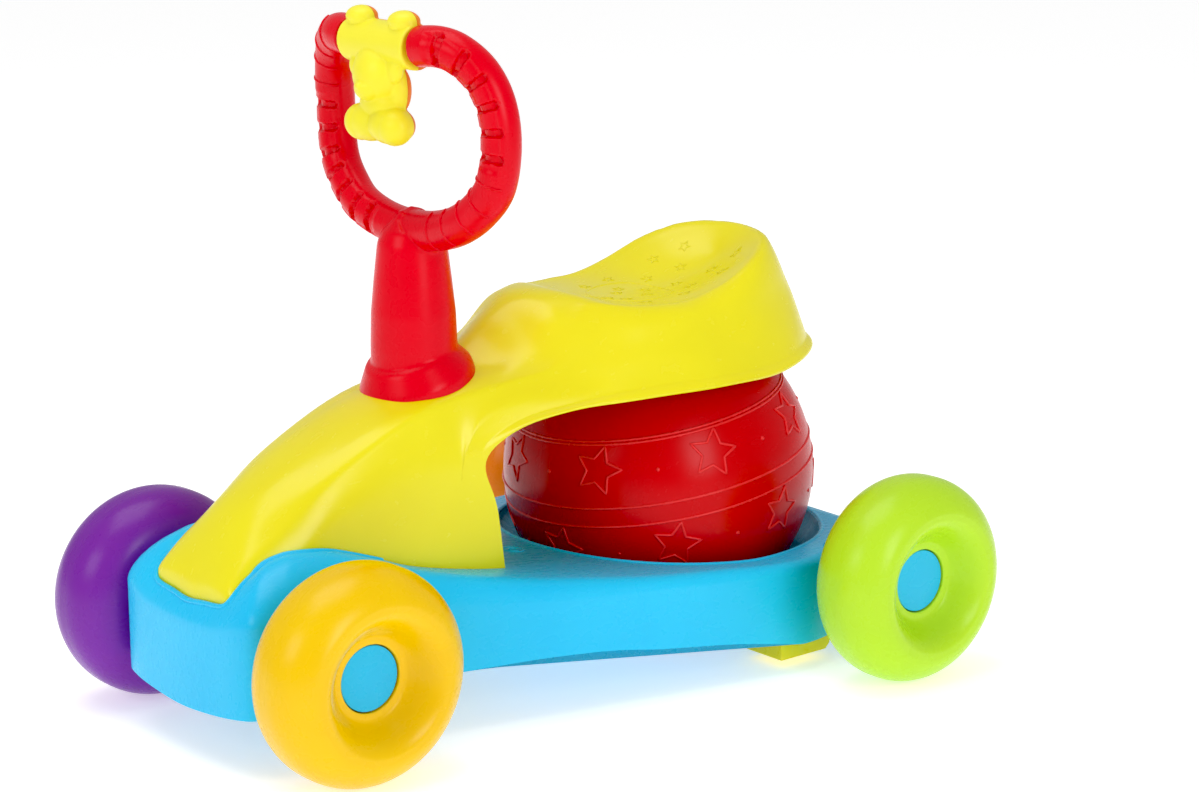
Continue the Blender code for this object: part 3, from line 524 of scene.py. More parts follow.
def beadTree():
    # lines of the piece drop on to a surface where one is given, and become round beads
    tree, sockets, start, end = newTree("beadLaidOn", [
        ("Surface", "Object", None), ("Drop On Surface", "Bool", True), ("Bead Radius", "Float", 0.001),
        ("Sunk Depth", "Float", 0.0), ("Bead Sides", "Int", 10), ("Finish", "Material", None)])
    given = start.outputs
    lines = node(tree, "GeometryNodeMeshToCurve", {"Mesh": given["Geometry"]})
    surface = node(tree, "GeometryNodeObjectInfo", {"Object": given["Surface"]}, transform_space="ORIGINAL")
    place = node(tree, "GeometryNodeInputPosition")
    ray = node(tree, "GeometryNodeRaycast", {"Target Geometry": surface.outputs["Geometry"],
               "Source Position": place.outputs[0]}, {"Ray Direction": (0, 0, -1), "Ray Length": 2.0})
    up = vectorNode(tree, "SCALE", {0: ray.outputs["Hit Normal"], "Scale": given["Sunk Depth"]})
    laid = vectorNode(tree, "SUBTRACT", {0: ray.outputs["Hit Position"], 1: up})
    use = node(tree, "FunctionNodeBooleanMath", {0: ray.outputs["Is Hit"], 1: given["Drop On Surface"]},
               operation="AND")
    moved = node(tree, "GeometryNodeSetPosition", {"Geometry": lines.outputs[0], "Selection": use.outputs[0],
                 "Position": laid})
    ring = node(tree, "GeometryNodeCurvePrimitiveCircle", {"Resolution": given["Bead Sides"],
                "Radius": given["Bead Radius"]})
    solid = node(tree, "GeometryNodeCurveToMesh", {"Curve": moved.outputs[0], "Profile Curve": ring.outputs[0]},
                 {"Fill Caps": True})
    real = node(tree, "GeometryNodeRealizeInstances", {"Geometry": solid.outputs[0]})
    finished = node(tree, "GeometryNodeSetMaterial", {"Geometry": real.outputs[0], "Material": given["Finish"]})
    tree.links.new(finished.outputs[0], end.inputs[0])
    return tree, sockets


def wirePiece(name, lines, closed):
    # plain edges that a tree turns into beads
    points, edges = [], []
    for line in lines:
        first = len(points)
        points += [tuple(float(c) * mm for c in p) for p in line]
        edges += [(first + i, first + i + 1) for i in range(len(line) - 1)]
        if closed:
            edges.append((len(points) - 1, first))
    mesh = bpy.data.meshes.new(name)
    mesh.from_pydata(points, edges, [])
    return placed(name, mesh)


beadLaidOn, beadSockets = beadTree()


def layBead(name, lines, closed, radius, finish, surface=None, sunk=0.0, sides=10):
    piece = wirePiece(name, lines, closed)
    return growWith(piece, beadLaidOn, beadSockets, {
        "Surface": surface, "Drop On Surface": surface is not None, "Bead Radius": radius * mm,
        "Sunk Depth": sunk * mm, "Bead Sides": sides, "Finish": paint[finish]})


# The yellow saddle body: saddle, neck and nose in one moulding

saddle = {
    "crown": guide([(0, -46, 28), (0, -44, 42), (0, -29, 65), (0, -7, 88), (0, 28, 109), (0, 70, 128), (0, 103, 139),
        (0, 132, 147), (0, 156, 154), (0, 177, 166), (0, 194, 179)], [(0, -128, 190), (0, -110, 192), (0, -78, 182),
        (0, -40, 175), (0, -1, 175), (0, 30, 181), (0, 50, 190), (0, 58, 197.5)]),
    "edge": guide([(21, -45, 28), (21, -44, 42), (21, -29, 63), (21, -6, 85), (22, 28, 106.5), (22, 70, 126),
        (23, 103, 136.5), (24, 132, 143.5), (24, 154, 148.5), (26, 177, 154), (28, 198, 168)], [(32, -121, 183),
        (41, -99, 184), (55, -68, 180), (62, -33, 179), (62, 4, 186), (57, 38, 200), (37, 64, 209.5),
        (0, 75, 211.5)]),
    "shoulder": guide([(37, -45, 28), (37, -43, 42), (38.5, -27, 57), (39, -2, 73), (40, 29, 97), (41, 70, 118),
        (41, 100, 130), (42, 127, 136), (44, 147, 139.5), (46, 166, 142), (50, 190, 145.5)], [(59, -121, 149.5),
        (67, -96, 153), (74, -68, 156), (78, -33, 158), (78, 9, 160), (66, 52, 168), (41, 84, 176), (0, 96, 181)]),
    "flank": guide([(43.5, -43.5, 27), (43.5, -39.5, 41), (46, -18, 46), (48, 4, 56), (49, 32, 73), (51, 70, 82),
        (53.4, 102, 80), (54.8, 124, 76), (55.4, 128, 93), (56.6, 139, 111), (61, 173, 125)], [(69, -127, 130),
        (78, -96, 134), (84, -61, 137), (88, -26, 139), (85, 16, 140), (72, 61, 145), (43, 95, 149), (0, 106, 152)]),
    "rim": guide([(44.5, -40, 25), (45.5, -33, 28), (47, -13, 34), (49, 7, 38), (50, 35, 37), (52, 70, 27),
        (55, 112, 13), (56, 163, 1), (56, 155, 60), (56.5, 144, 94), (61, 166, 114)], [(73, -134, 123),
        (82, -99, 125), (88, -61, 125.5), (92, -22, 125.5), (90, 20, 125), (75, 66, 128), (45, 101, 131),
        (0, 113, 132)]),
    "finer": 8,             # grid steps between two guide lines
    "fairing": 12,          # smoothing passes over the skin, each followed by one that gives the size back
    "ridge": 1.2,           # how far the soft line along the shoulder stands up
    "ridgeHalf": 4.0,
    "wall": 3.0,
    "lipFrom": [14.0, 11.0, 9.0, 8.2, 7.4, 6.6, 5.7, 4.7, 3.6, 2.5, 1.4, 0.6, 0.0],    # distances from the rim
    "lipShare": [0, 0, 0, 0.02, 0.12, 0.30, 0.50, 0.70, 0.87, 0.98, 1.0, 0.86, 0.5],   # how far the lip flares there
    "lipProud": 2.7,
    "rowPoints": 60,        # points of a station before the lip
    "shortLine": 40.0,      # a station shorter than this has its lip squeezed
    "dropIntoBase": 9.0,    # how far the nose block carries on down inside the base
    "blockEnd": 7,          # the station where the block ends and the arch begins
    "archTop": 10,
    "backHalf": 53.0,       # half width of the plate that closes the block behind
    "backInset": 0.6,
    # stations, counted in guide points from the nose, between which something sets in or fades
    "evenIn": (3.6, 5.6), "evenOut": (10.6, 12.6), "evenFit": (3.2, 13.0),
    "evenMiddle": (110, 70), "evenReach": (90, 70), "evenTerms": 5,     # of the smooth curve: mm back and up, and order
    "ridgeClimbs": (10.2, 12.2), "ridgeFaint": (0.6, 2.0), "ridgeFull": (3.5, 5.5),
    "ridgeDip": (10.0, 11.0), "ridgeBack": (11.5, 12.5),
}


def evenFlank(grid):
    # beside the arch the guide lines crowd together, so how far the flank stands out there follows one smooth curve
    fine = saddle["finer"]
    count, lines = grid.shape[:2]
    station = np.arange(count)[:, None] / fine
    line = np.arange(lines)[None, :]
    weight = easeIn(station, *saddle["evenIn"]) * (1 - easeIn(station, *saddle["evenOut"]))
    weight = weight * easeIn(line, 2 * fine + 1, 3 * fine - 1)
    first, last = saddle["evenFit"]
    near = (station > first) & (station < last) & (line >= 2 * fine + 3)
    (middleY, middleZ), (reachY, reachZ), order = (saddle[key] for key in ("evenMiddle", "evenReach", "evenTerms"))
    u, v = (grid[:, :, 1] - frontY - middleY) / reachY, (grid[:, :, 2] - hubHeight - middleZ) / reachZ
    terms = np.stack([u**a * v**b for a in range(order) for b in range(order - a)], axis=2)
    answer = np.linalg.lstsq(terms[near], grid[:, :, 0][near], rcond=None)[0]
    grid[:, :, 0] += weight * (terms @ answer - grid[:, :, 0])
    return grid


def saddleGrid():
    fine = saddle["finer"]
    net = np.array([saddle[line] for line in ("crown", "edge", "shoulder", "flank", "rim")], float)
    net = between(net, fine, before=flipX(net[1]))
    grid = net.transpose(1, 0, 2)
    grid = between(grid, fine, after=flipX(grid[-2]))      # stations x lines
    for turn in range(2 * saddle["fairing"]):
        inner = np.concatenate([flipX(grid[:, 1:2]), grid[:, :-1]], axis=1)
        outer = np.concatenate([grid[:, 1:], grid[:, -1:]], axis=1)
        behind = np.concatenate([grid[:1], grid[:-1]])
        ahead = np.concatenate([grid[1:], flipX(grid[-2:-1])])
        mean = (inner + outer + behind + ahead) / 4
        mean[:, -1] = (behind + ahead)[:, -1] / 2
        mean[0] = grid[0]
        grid = grid + (0.5 if turn % 2 == 0 else -0.51) * (mean - grid)
    return evenFlank(grid)


def outwardOf(rows):
    along = np.gradient(rows, axis=0)
    down = np.gradient(rows, axis=1)
    along[-1] = np.array([-1.0, 0.0, 0.0])
    outward = np.cross(along, down)
    outward /= np.linalg.norm(outward, axis=2)[:, :, None] + 1e-9
    return -outward if outward[:, 20:, 0].mean() < 0 else outward


def pointsAt(path, travelled, goals):
    # the points of a path at the given lengths along it
    return np.array([[np.interp(goal, travelled, path[:, k]) for k in range(3)] for goal in goals])


def saddleSkin():
    grid = saddleGrid()
    fine = saddle["finer"]
    outward = outwardOf(grid)
    for index in range(len(grid)):
        travelled = travelledAlong(grid[index])
        station = index / fine
        toEdge = easeIn(station, *saddle["ridgeClimbs"])    # the line climbs from the shoulder to the rim of the dish
        line = 2 * fine - toEdge * fine
        middle = np.interp(line, range(grid.shape[1]), travelled)
        bump = np.exp(-((travelled - middle) / saddle["ridgeHalf"]) ** 2)
        grown = 0.2 * easeIn(station, *saddle["ridgeFaint"]) + 0.8 * easeIn(station, *saddle["ridgeFull"])
        faded = 1 - 0.75 * easeIn(station, *saddle["ridgeDip"]) * (1 - easeIn(station, *saddle["ridgeBack"]))
        height = saddle["ridge"] * grown * faded
        grid[index] += outward[index] * (bump * height)[:, None]
    near = saddle["lipFrom"]
    stations = []
    for line in grid:
        travelled = travelledAlong(line)
        total = travelled[-1]
        squeeze = min(1.0, total / saddle["shortLine"])
        far = np.linspace(total, near[0] * squeeze, saddle["rowPoints"])[:-1]
        stations.append(pointsAt(line, travelled, [total - d for d in list(far) + [d * squeeze for d in near]]))
    rows = np.array(stations)
    outward = outwardOf(rows)
    first = rows.shape[1] - len(near)
    for index in range(len(rows)):
        station = index / fine
        strength = easeIn(station, saddle["blockEnd"] + 1.6, saddle["archTop"] + 1.0)
        for k, share in enumerate(saddle["lipShare"]):
            rows[index, first + k] += outward[index, first + k] * share * strength * saddle["lipProud"]
    return rows, outward


saddleRows, saddleOutward = saddleSkin()


def saddleMesh(name, inset=0.0, closed=False, fall=None):
    # both halves of the skin; closed fills it in below, for cutting other pieces to its shape
    rows = saddleRows - saddleOutward * inset
    rows[:, 0, 0] = 0.0
    rows[-1, :, 0] = 0.0
    fine = saddle["finer"]
    blockEnd = saddle["blockEnd"] * fine
    stations, lines = rows.shape[:2]
    points, faces = [], []

    def put(point):
        points.append(point)
        return len(points) - 1

    rim = {}
    for side in (1, -1):
        spots = np.array([[put(rows[i, j] * (side, 1, 1)) for j in range(lines)] for i in range(stations)])
        for i in range(stations - 1):
            for j in range(lines - 1):
                quad = (spots[i, j], spots[i, j + 1], spots[i + 1, j + 1], spots[i + 1, j])
                faces.append(quad if side > 0 else quad[::-1])
        rim[side] = spots[:, -1]
        rim[side, "nose"] = spots[0]
    drop = np.array([0.0, 0.0, -(fall or saddle["dropIntoBase"])])
    loop = list(rim[-1, "nose"][::-1]) + list(rim[1, "nose"][1:])
    lowered = [put(points[p] + drop) for p in loop]
    for k in range(len(loop) - 1):
        faces.append((loop[k], lowered[k], lowered[k + 1], loop[k + 1]))
    for side in (1, -1):
        start = lowered[-1] if side > 0 else lowered[0]
        low = [start]
        for i in range(1, stations):
            low.append(put(points[rim[side][i]] + drop) if i <= blockEnd else rim[side][i])
        for i in range(blockEnd):
            faces.append((rim[side][i], low[i], low[i + 1], rim[side][i + 1]))
        faces.append((rim[side][blockEnd], low[blockEnd], rim[side][blockEnd + 1]))
        rim[side, "low"] = low
    if closed:
        left, right = rim[1, "low"], rim[-1, "low"]
        for i in range(stations - 1):
            faces.append((left[i], left[i + 1], right[i + 1], right[i]))
        faces.append(tuple(lowered))
    return newPiece(name, points, faces)


saddleBody = saddleMesh("saddleBody")
saddleShell = saddleBody.modifiers.new("wall", "SOLIDIFY")
saddleShell.thickness = saddle["wall"] * mm
saddleShell.offset = -1.0
saddleShell.use_even_offset = False
settle(saddleBody, 45)
fine, blockEnd = saddle["finer"], saddle["blockEnd"]
blockBack = saddleRows[blockEnd * fine : (blockEnd + 2) * fine + 1, -1, 1:]
backOutline = [tuple(p - (saddle["backInset"], 0)) for p in blockBack]
backOutline += [tuple(p - (saddle["backInset"] + saddle["wall"], 0)) for p in blockBack[::-1]]

seatMarks = {
    "circle": (0.0, 116.7, 29.5),       # middle x and y, radius
    "circleBead": 0.75,
    "stars": [(-20, 150, 20), (2, 158, 55), (24, 152, 0), (-36, 128, 35), (40, 132, 10), (-33, 104, 60), (38, 100, 25),
              (-14, 176, 0), (14, 180, 40), (-34, 168, 15), (36, 170, 50), (-8, 112, 10), (10, 124, 45), (-4, 134, 30),
              (12, 104, 0), (-16, 120, 60), (2, 96, 20), (-26, 190, 30), (24, 194, 5)],    # x, y, turn
    "starSize": 4.2,
    "starWaist": 0.46,
    "starBead": 0.55,
    "above": 400.0,
}


def roundLine(x, y, radius, steps, turn=0.0, waist=1.0):
    # a closed line over the toy, ready to be dropped; waist draws every other point in, for a star
    line = []
    for k in range(steps):
        reach, angle = radius * (waist if k % 2 else 1.0), math.radians(turn + 360 / steps * k)
        line.append((x + reach * math.cos(angle), y + reach * math.sin(angle), seatMarks["above"]))
    return line


seatCircle = layBead("seatCircle", [roundLine(*seatMarks["circle"], 96)], True, seatMarks["circleBead"], "saddleYellow",
                     saddleBody, 0.3, 8)
starLines = [roundLine(x, y, seatMarks["starSize"], 10, turn, seatMarks["starWaist"])
             for x, y, turn in seatMarks["stars"]]
seatStars = layBead("seatStars", starLines, True, seatMarks["starBead"], "saddleYellow", saddleBody, 0.15, 6)
backPlate = slab("blockBack", backOutline, -saddle["backHalf"], saddle["backHalf"], "X")
markEdges(backPlate)
markEdges(saddleBody)
for trim in (backPlate, seatCircle, seatStars):
    dress(trim, "saddleYellow", "seat_body")
print("saddle body:", len(saddleBody.data.polygons), "faces")
dress(saddleBody, "saddleYellow", "seat_body", ("body_shell",))

# The blue base

base = {
    "foot": guide([(0, -54, -38), (35, -53, -36), (60, -51, -33), (73, -46, -31), (79, -32, -28), (80, -14, -27),
        (80, 21, -27), (80, 56, -28), (83, 91, -29), (95, 147, -29)], [(108, -138, -31), (118, -96, -36),
        (128, -47, -41), (136, -8, -47), (139, 13, -50), (136, 34, -50), (126, 69, -49), (115, 100, -48),
        (93, 116, -48), (56, 121, -48), (0, 121, -48)]),
    "wallTop": [18, 19, 25, 28, 29, 31, 31, 23, 15, 8, 5, 4, 1, 1, 1, 0, -1, -1, -2, -2, -2],
    "deck": guide([(0, -29, 43), (32, -29, 47), (43.2, -27, 52), (46, -20, 57.5), (48, -11, 60.5), (49.6, 0, 62),
        (53, 24, 59.5), (59, 56, 49), (66, 92, 36), (81, 150, 24)], [(97, -136, 17), (109, -94, 13), (120, -46, 10),
        (129, -7, 8), (132, 13, 8), (129, 32, 8), (120, 64, 7), (109, 93, 6), (90, 109, 6), (54, 114, 5),
        (0, 116, 5)]),
    "fullness": [0.55] * 7 + [0.7, 0.85] + [1.0] * 12,   # 0 is a flat slope from wall to deck and 1 a quarter round
    "finer": 6,
    "wallRings": ((0.06, 0.06), (0.5, 0.5), (0.97, 1.0)),    # shares of the wall's height, and of the drop there
    "roundRings": 9, "slopeBend": 0.78, "deckStrips": 10,
    "wall": 3.0,
    "topDrop": 0.3,         # share of the wall by which the inside lies lower under the walls' upper edge
    "seamGap": 1.5,
    "skinGap": 1.0,         # the opening follows the saddle this far off
    "lipRadius": 1.7,
    "openDrop": 60.0,       # how far the inside is carried down, so that the base is open below
    "blockFall": 30.0,      # and the saddle's nose, where it cuts the well
    "wellWallSpan": (hubHeight + 2, hubHeight + 90), "wellSpan": (hubHeight - 10, hubHeight - 1),
    # radius and height from the ball's middle
    "bowlWallTop": (115, 30), "bowlFloor": (50, -106), "bowlSpaceTop": [(113.5, -42.5), (113.5, 40), (0, 40)],
    "cradleRest": 109.1,    # the ball lies in the bowl at this radius
    "cradleRadii": (50.0, 56.0, 63.0, 69.0, 75.0),
    # then radius and height from the ball's middle, and which way the wall's thickness goes there
    "cradleRim": [(83, -72.0, 0.55, -0.82), (90, -66.5, 0.6, -0.8), (97.5, -60, 0.62, -0.78), (104, -53, 0.65, -0.76),
                  (109, -49.5, 0.8, -0.66), (112, -45, 1.0, -0.5)],
}


def baseRing(line):
    line = np.array(line, float)
    return between(line, base["finer"], before=flipX(line[1]), after=flipX(line[-2]))


footLine = baseRing(base["foot"])
wallLine = np.array(base["foot"], float)
wallLine[:, 2] = hubHeight + np.array(base["wallTop"], float)
wallLine = baseRing(wallLine)
deckLine = baseRing(base["deck"])
fullness = np.interp(np.linspace(0, 20, len(deckLine)), range(21), base["fullness"])[:, None]


def baseForm(name, inset, drop):
    # the base filled in, moved inwards by inset and carried down by drop
    def moved(line, down):
        ahead = np.gradient(np.vstack([flipX(line[1]), line, flipX(line[-2])]), axis=0)[1:-1]
        inward = np.stack([-ahead[:, 1], ahead[:, 0], np.zeros(len(line))], axis=1)
        inward /= np.linalg.norm(inward, axis=1)[:, None]
        made = line + inward * inset
        made[:, 2] -= down
        return made

    topDrop = inset * base["topDrop"]
    rings = [moved(footLine, drop)]
    for share, lowered in base["wallRings"]:
        rings.append(moved(footLine * (1 - share) + wallLine * share, topDrop * lowered))
    for t in np.linspace(0, math.pi / 2, base["roundRings"]):
        bend = 1 + base["slopeBend"] * (1 - fullness[:, 0])
        across, up = 1 - max(math.cos(t), 0.0) ** bend, max(math.sin(t), 0.0) ** bend
        mix = np.stack([across, across, up], axis=1)
        rings.append(moved(wallLine + (deckLine - wallLine) * mix, topDrop + (inset - topDrop) * math.sin(t)))
    n = 2 * len(footLine) - 2
    points = []
    for line in rings:
        points += list(line) + [flipX(p) for p in line[-2:0:-1]]
    faces = ringFaces(n, len(rings)) + [tuple(range(n))]
    top = (len(rings) - 1) * n
    count = len(footLine)
    strips = base["deckStrips"]
    ladder = []
    for i in range(count):
        left, right = top + i, top + (n - i) % n
        if i in (0, count - 1):
            ladder.append([left] * (strips + 1))
            continue
        row = [left]
        for k in range(1, strips):
            points.append(points[left] + (points[right] - points[left]) * k / strips)
            row.append(len(points) - 1)
        ladder.append(row + [right])
    for i in range(count - 1):
        for k in range(strips):
            quad = [ladder[i][k], ladder[i + 1][k], ladder[i + 1][k + 1], ladder[i][k + 1]]
            quad = [p for m, p in enumerate(quad) if p != quad[m - 1]]
            if len(set(quad)) > 2:
                faces.append(tuple(quad))
    return newPiece(name, points, faces)


def grownOutline(outline, distance):
    points = np.array(outline, float)
    ahead = np.roll(points, -1, axis=0) - points
    ahead /= np.linalg.norm(ahead, axis=1)[:, None]
    out = np.stack([ahead[:, 1], -ahead[:, 0]], axis=1)
    meet = out + np.roll(out, 1, axis=0)
    meet *= (2 / (meet**2).sum(axis=1))[:, None]
    return [tuple(p + distance * m) for p, m in zip(points, meet)]


def noseOutline():
    # the plan of the yellow block where it dips into the base, counter-clockwise
    half = np.vstack([saddleRows[0, ::4, :2], saddleRows[2 : blockEnd * fine + 1 : 3, -1, :2]])
    half = half[np.concatenate([[True], np.linalg.norm(np.diff(half, axis=0), axis=1) > 0.8])]
    half[:, 0] = np.maximum.accumulate(half[:, 0])
    half[0, 0] = 0.0
    return [tuple(p) for p in np.vstack([half, half[:0:-1] * np.array([-1.0, 1.0])])]


def cradleLine(offset):
    rest = base["cradleRest"]
    made = [(r + 0.5 * offset, -math.sqrt(rest**2 - r**2) - 0.86 * offset) for r in base["cradleRadii"]]
    return made + [(r + out * offset, rise + down * offset) for r, rise, out, down in base["cradleRim"]]


seam = noseOutline()
wall, openDrop = base["wall"], base["openDrop"]
baseDeck = baseForm("baseDeck", 0.0, 0.0)
carve(baseDeck, "DIFFERENCE", [baseForm("baseInside", wall, openDrop)])
wellWall = slab("wellWall", grownOutline(seam, base["seamGap"] + wall), *base["wellWallSpan"])
carve(wellWall, "INTERSECT", [baseForm("wellLimit", wall / 3, openDrop)])
(wallOut, wallTop), (floorOut, floorLow) = base["bowlWallTop"], base["bowlFloor"]
bowlProfile = [(wallOut, wallTop), (floorOut, wallTop), (floorOut, cradleLine(wall)[0][1])] + cradleLine(wall)
bowlWall = turned("bowlWall", bowlProfile, 96, ballMiddle, "Z")
carve(bowlWall, "INTERSECT", [baseForm("bowlLimit", wall / 3, openDrop)])
carve(baseDeck, "UNION", [wellWall, bowlWall])
bowlSpace = [(0, floorLow), (floorOut, floorLow)] + cradleLine(0.0) + base["bowlSpaceTop"]
carve(baseDeck, "DIFFERENCE", [
    saddleMesh("saddleRoom", -base["skinGap"], True, base["blockFall"]),
    slab("wellSpace", grownOutline(seam, base["seamGap"]), *base["wellSpan"]),
    turned("bowlSpace", bowlSpace, 96, ballMiddle, "Z")])
deckTop = baseForm("deckTop", 0.0, 0.0)
print("base:", len(baseDeck.data.polygons), "faces")

# Beads moulded along the two openings and two small rings on the deck
mouth = {"bowlRadius": 115.2, "ringSpot": (13.0, 2.5), "rings": ((7.0, 36), (3.4, 24)), "ringBead": 0.8,
         "middleY": frontY + 30, "turns": (-212, 32, 200), "reach": (20.0, 110.0, 0.5), "lipOut": 1.5, "easing": 4}
bowlLine = roundLine(0.0, ballMiddle[1], mouth["bowlRadius"], 144)
deckLines = [roundLine(*mouth["ringSpot"], radius, steps) for radius, steps in mouth["rings"]]
baseLips = [layBead("bowlLip", [bowlLine], True, base["lipRadius"], "deckBlue", deckTop, 0.7),
            layBead("deckRing", deckLines, True, mouth["ringBead"], "deckBlue", deckTop, 0.2)]


def noseMouth(offset):
    # walks outwards from the middle of the block to where its skin passes below the deck
    graph = bpy.context.evaluated_depsgraph_get()
    deckTree, skinTree = (BVHTree.FromObject(piece, graph) for piece in (deckTop, skinCopy))
    middle, down = np.array([0.0, mouth["middleY"]]), Vector((0, 0, -1))
    line = []
    for turn in np.radians(np.linspace(*mouth["turns"])):
        away = np.array([math.cos(turn), math.sin(turn)])
        spot = None
        for reach in np.arange(*mouth["reach"]):
            x, y = middle + away * reach
            above = Vector((x * mm, y * mm, seatMarks["above"] * mm))
            skinHit, deckHit = skinTree.ray_cast(above, down)[0], deckTree.ray_cast(above, down)[0]
            if skinHit and deckHit and skinHit.z > deckHit.z:
                spot = reach
        if spot:
            x, y = middle + away * (spot + offset)
            line.append((x, y, seatMarks["above"]))
    line = np.array(line)
    for turn in range(mouth["easing"]):
        line[1:-1] = (line[:-2] + 2 * line[1:-1] + line[2:]) / 4
    return line


skinCopy = saddleMesh("skinCopy", 0.0, True, base["blockFall"])
mouthLine = noseMouth(base["skinGap"] + mouth["lipOut"])
baseLips.append(layBead("noseLip", [mouthLine], False, base["lipRadius"], "deckBlue", deckTop, 0.5))
bpy.data.objects.remove(skinCopy)
bpy.data.objects.remove(deckTop)

# Ears, bosses and hangers inside the base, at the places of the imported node
bracket = {
    "earSide": [(-51.5, -28), (10, -28), (10, -5), (-10, 22), (-14, 26.5), (-21, 26.5), (-26, 20), (-51.5, 11)],
    "earOut": 29.4, "earThick": 5.0,
    "frontBoss": [(0, 74), (9, 74, 1), (9, 91, 0.8), (0, 91)],
    "rearBoss": [(0, 118), (12, 118, 1), (12, 132, 2), (9, 165.5, 0.8), (0, 165.5)],
    "hangerOut": 105.0,
    "hanger": ((-3, -12, -12), (3, 12, 5.5)),       # two corners, from the rear axle
    "lugSpans": ((86.1, 90.1), (126.5, 137.0)),
    "lug": ((-12, -8), (12, 28)),                   # two corners, from the foot's pin
}
footPin = (ballMiddle[1] + 9.5, 30.0)
earSide = [(frontY + y, hubHeight + z) for y, z in bracket["earSide"]]
brackets = []
for side in (1, -1):
    near = side * bracket["earOut"] - bracket["earThick"] / 2
    brackets.append(slab("ear", earSide, near, near + bracket["earThick"], "X"))
    brackets.append(turned("frontBoss", softCorners(bracket["frontBoss"]), 40, fromAxle(0, 0, 0), "X", side))
    brackets.append(turned("rearBoss", softCorners(bracket["rearBoss"]), 40, (0, rearY, hubHeight), "X", side))
    hanger = [np.array(corner) + (side * bracket["hangerOut"], rearY, hubHeight) for corner in bracket["hanger"]]
    brackets.append(block("hanger", *hanger))
    for span in bracket["lugSpans"]:
        corners = [(x, footPin[0] + y, footPin[1] + z)
                   for x, (y, z) in zip(sorted(side * s for s in span), bracket["lug"])]
        brackets.append(block("footLug", *corners))
baseBrackets = joinPieces("baseBrackets", brackets)
roundEdges(baseBrackets, 0.6, 2, 40)
markEdges(baseDeck)
dress(baseDeck, "deckBlue", "base", ("base_deck",))
dress(baseBrackets, "deckBlue", "base")
for lip in baseLips:
    dress(lip, "deckBlue", "base")
print("base trimmed")

# The ball and the marks moulded on it

ball = {
    "radius": 108.5,
    "lean": (-0.032, -0.166, 0.985),    # the axis of its moulded bands
    "bands": [0.497, 0.478, 0.100, -0.020],
    "bandBead": 0.9,
    "starRows": [{"height": 0.335, "count": 8, "turn": -16.5}, {"height": -0.185, "count": 8, "turn": -36.0}],
    "dotRows": [{"height": 0.31, "count": 8, "turn": -38.5}, {"height": -0.21, "count": 8, "turn": -12.5}],
    "squashFrom": 5.0,      # two heights over its middle, handed to dress along with the ball's bodies
    "squashTo": 60.0,
    "starOuter": 17.0,
    "starInner": 8.2,
    "starBead": 0.95,
    "dot": [(0.0, -0.8), (1.5, -0.8), (1.5, 0.0), (0.8, 0.55), (0.0, 0.7)],
    "dent": [(0.0, 0.9), (3.2, 0.9), (4.4, 0.1)],       # round the valve
}
lean = Vector(ball["lean"]).normalized()
leanMatrix = Vector((0, 0, 1)).rotation_difference(lean).to_matrix().to_4x4()


def ballSkin():
    radius = ball["radius"]
    profile = [(radius * math.cos(t), radius * math.sin(t)) for t in np.linspace(-math.pi / 2, math.pi / 2, 73)]
    profile[0], profile[-1] = (0.0, profile[0][1]), (0.0, profile[-1][1])
    dent = [(r, rise - radius) for r, rise in ball["dent"]]
    profile = dent + [p for p in profile[1:] if p[0] > 5.0 or p[1] > 0]
    return turned("ballSkin", profile, 144, ballMiddle, "Z")


def starTree():
    # outline stars stand at the given points of a ball, turned to its surface and bent to it, as raised beads
    tree, sockets, start, end = newTree("starsRoundBall", [
        ("Ball Middle", "Vector", None), ("Up", "Vector", None), ("Ball Radius", "Float", 0.1),
        ("Star Points", "Int", 5), ("Outer Radius", "Float", 0.017), ("Inner Radius", "Float", 0.008),
        ("Bead Radius", "Float", 0.0006), ("Finish", "Material", None)])
    given = start.outputs
    star = node(tree, "GeometryNodeCurveStar", {"Points": given["Star Points"], "Outer Radius": given["Outer Radius"],
                "Inner Radius": given["Inner Radius"]})
    finer = node(tree, "GeometryNodeSubdivideCurve", {"Curve": star.outputs["Curve"]}, {"Cuts": 6})
    place = node(tree, "GeometryNodeInputPosition")
    arm = vectorNode(tree, "SUBTRACT", {0: place.outputs[0], 1: given["Ball Middle"]})
    out = node(tree, "FunctionNodeAlignRotationToVector", {"Vector": arm}, axis="Z")
    aim = node(tree, "FunctionNodeAlignRotationToVector", {"Rotation": out.outputs[0], "Vector": given["Up"]},
               axis="Y", pivot_axis="Z")
    stars = node(tree, "GeometryNodeInstanceOnPoints", {"Points": given["Geometry"], "Instance": finer.outputs[0],
                 "Rotation": aim.outputs[0]})
    real = node(tree, "GeometryNodeRealizeInstances", {"Geometry": stars.outputs[0]})
    spot = node(tree, "GeometryNodeInputPosition")
    reach = vectorNode(tree, "SUBTRACT", {0: spot.outputs[0], 1: given["Ball Middle"]})
    unit = vectorNode(tree, "NORMALIZE", {0: reach})
    scaled = vectorNode(tree, "SCALE", {0: unit, "Scale": given["Ball Radius"]})
    onBall = vectorNode(tree, "ADD", {0: scaled, 1: given["Ball Middle"]})
    bent = node(tree, "GeometryNodeSetPosition", {"Geometry": real.outputs[0], "Position": onBall})
    ring = node(tree, "GeometryNodeCurvePrimitiveCircle", {"Radius": given["Bead Radius"]}, {"Resolution": 6})
    solid = node(tree, "GeometryNodeCurveToMesh", {"Curve": bent.outputs[0], "Profile Curve": ring.outputs[0]})
    finished = node(tree, "GeometryNodeSetMaterial", {"Geometry": solid.outputs[0], "Material": given["Finish"]})
    tree.links.new(finished.outputs[0], end.inputs[0])
    return tree, sockets


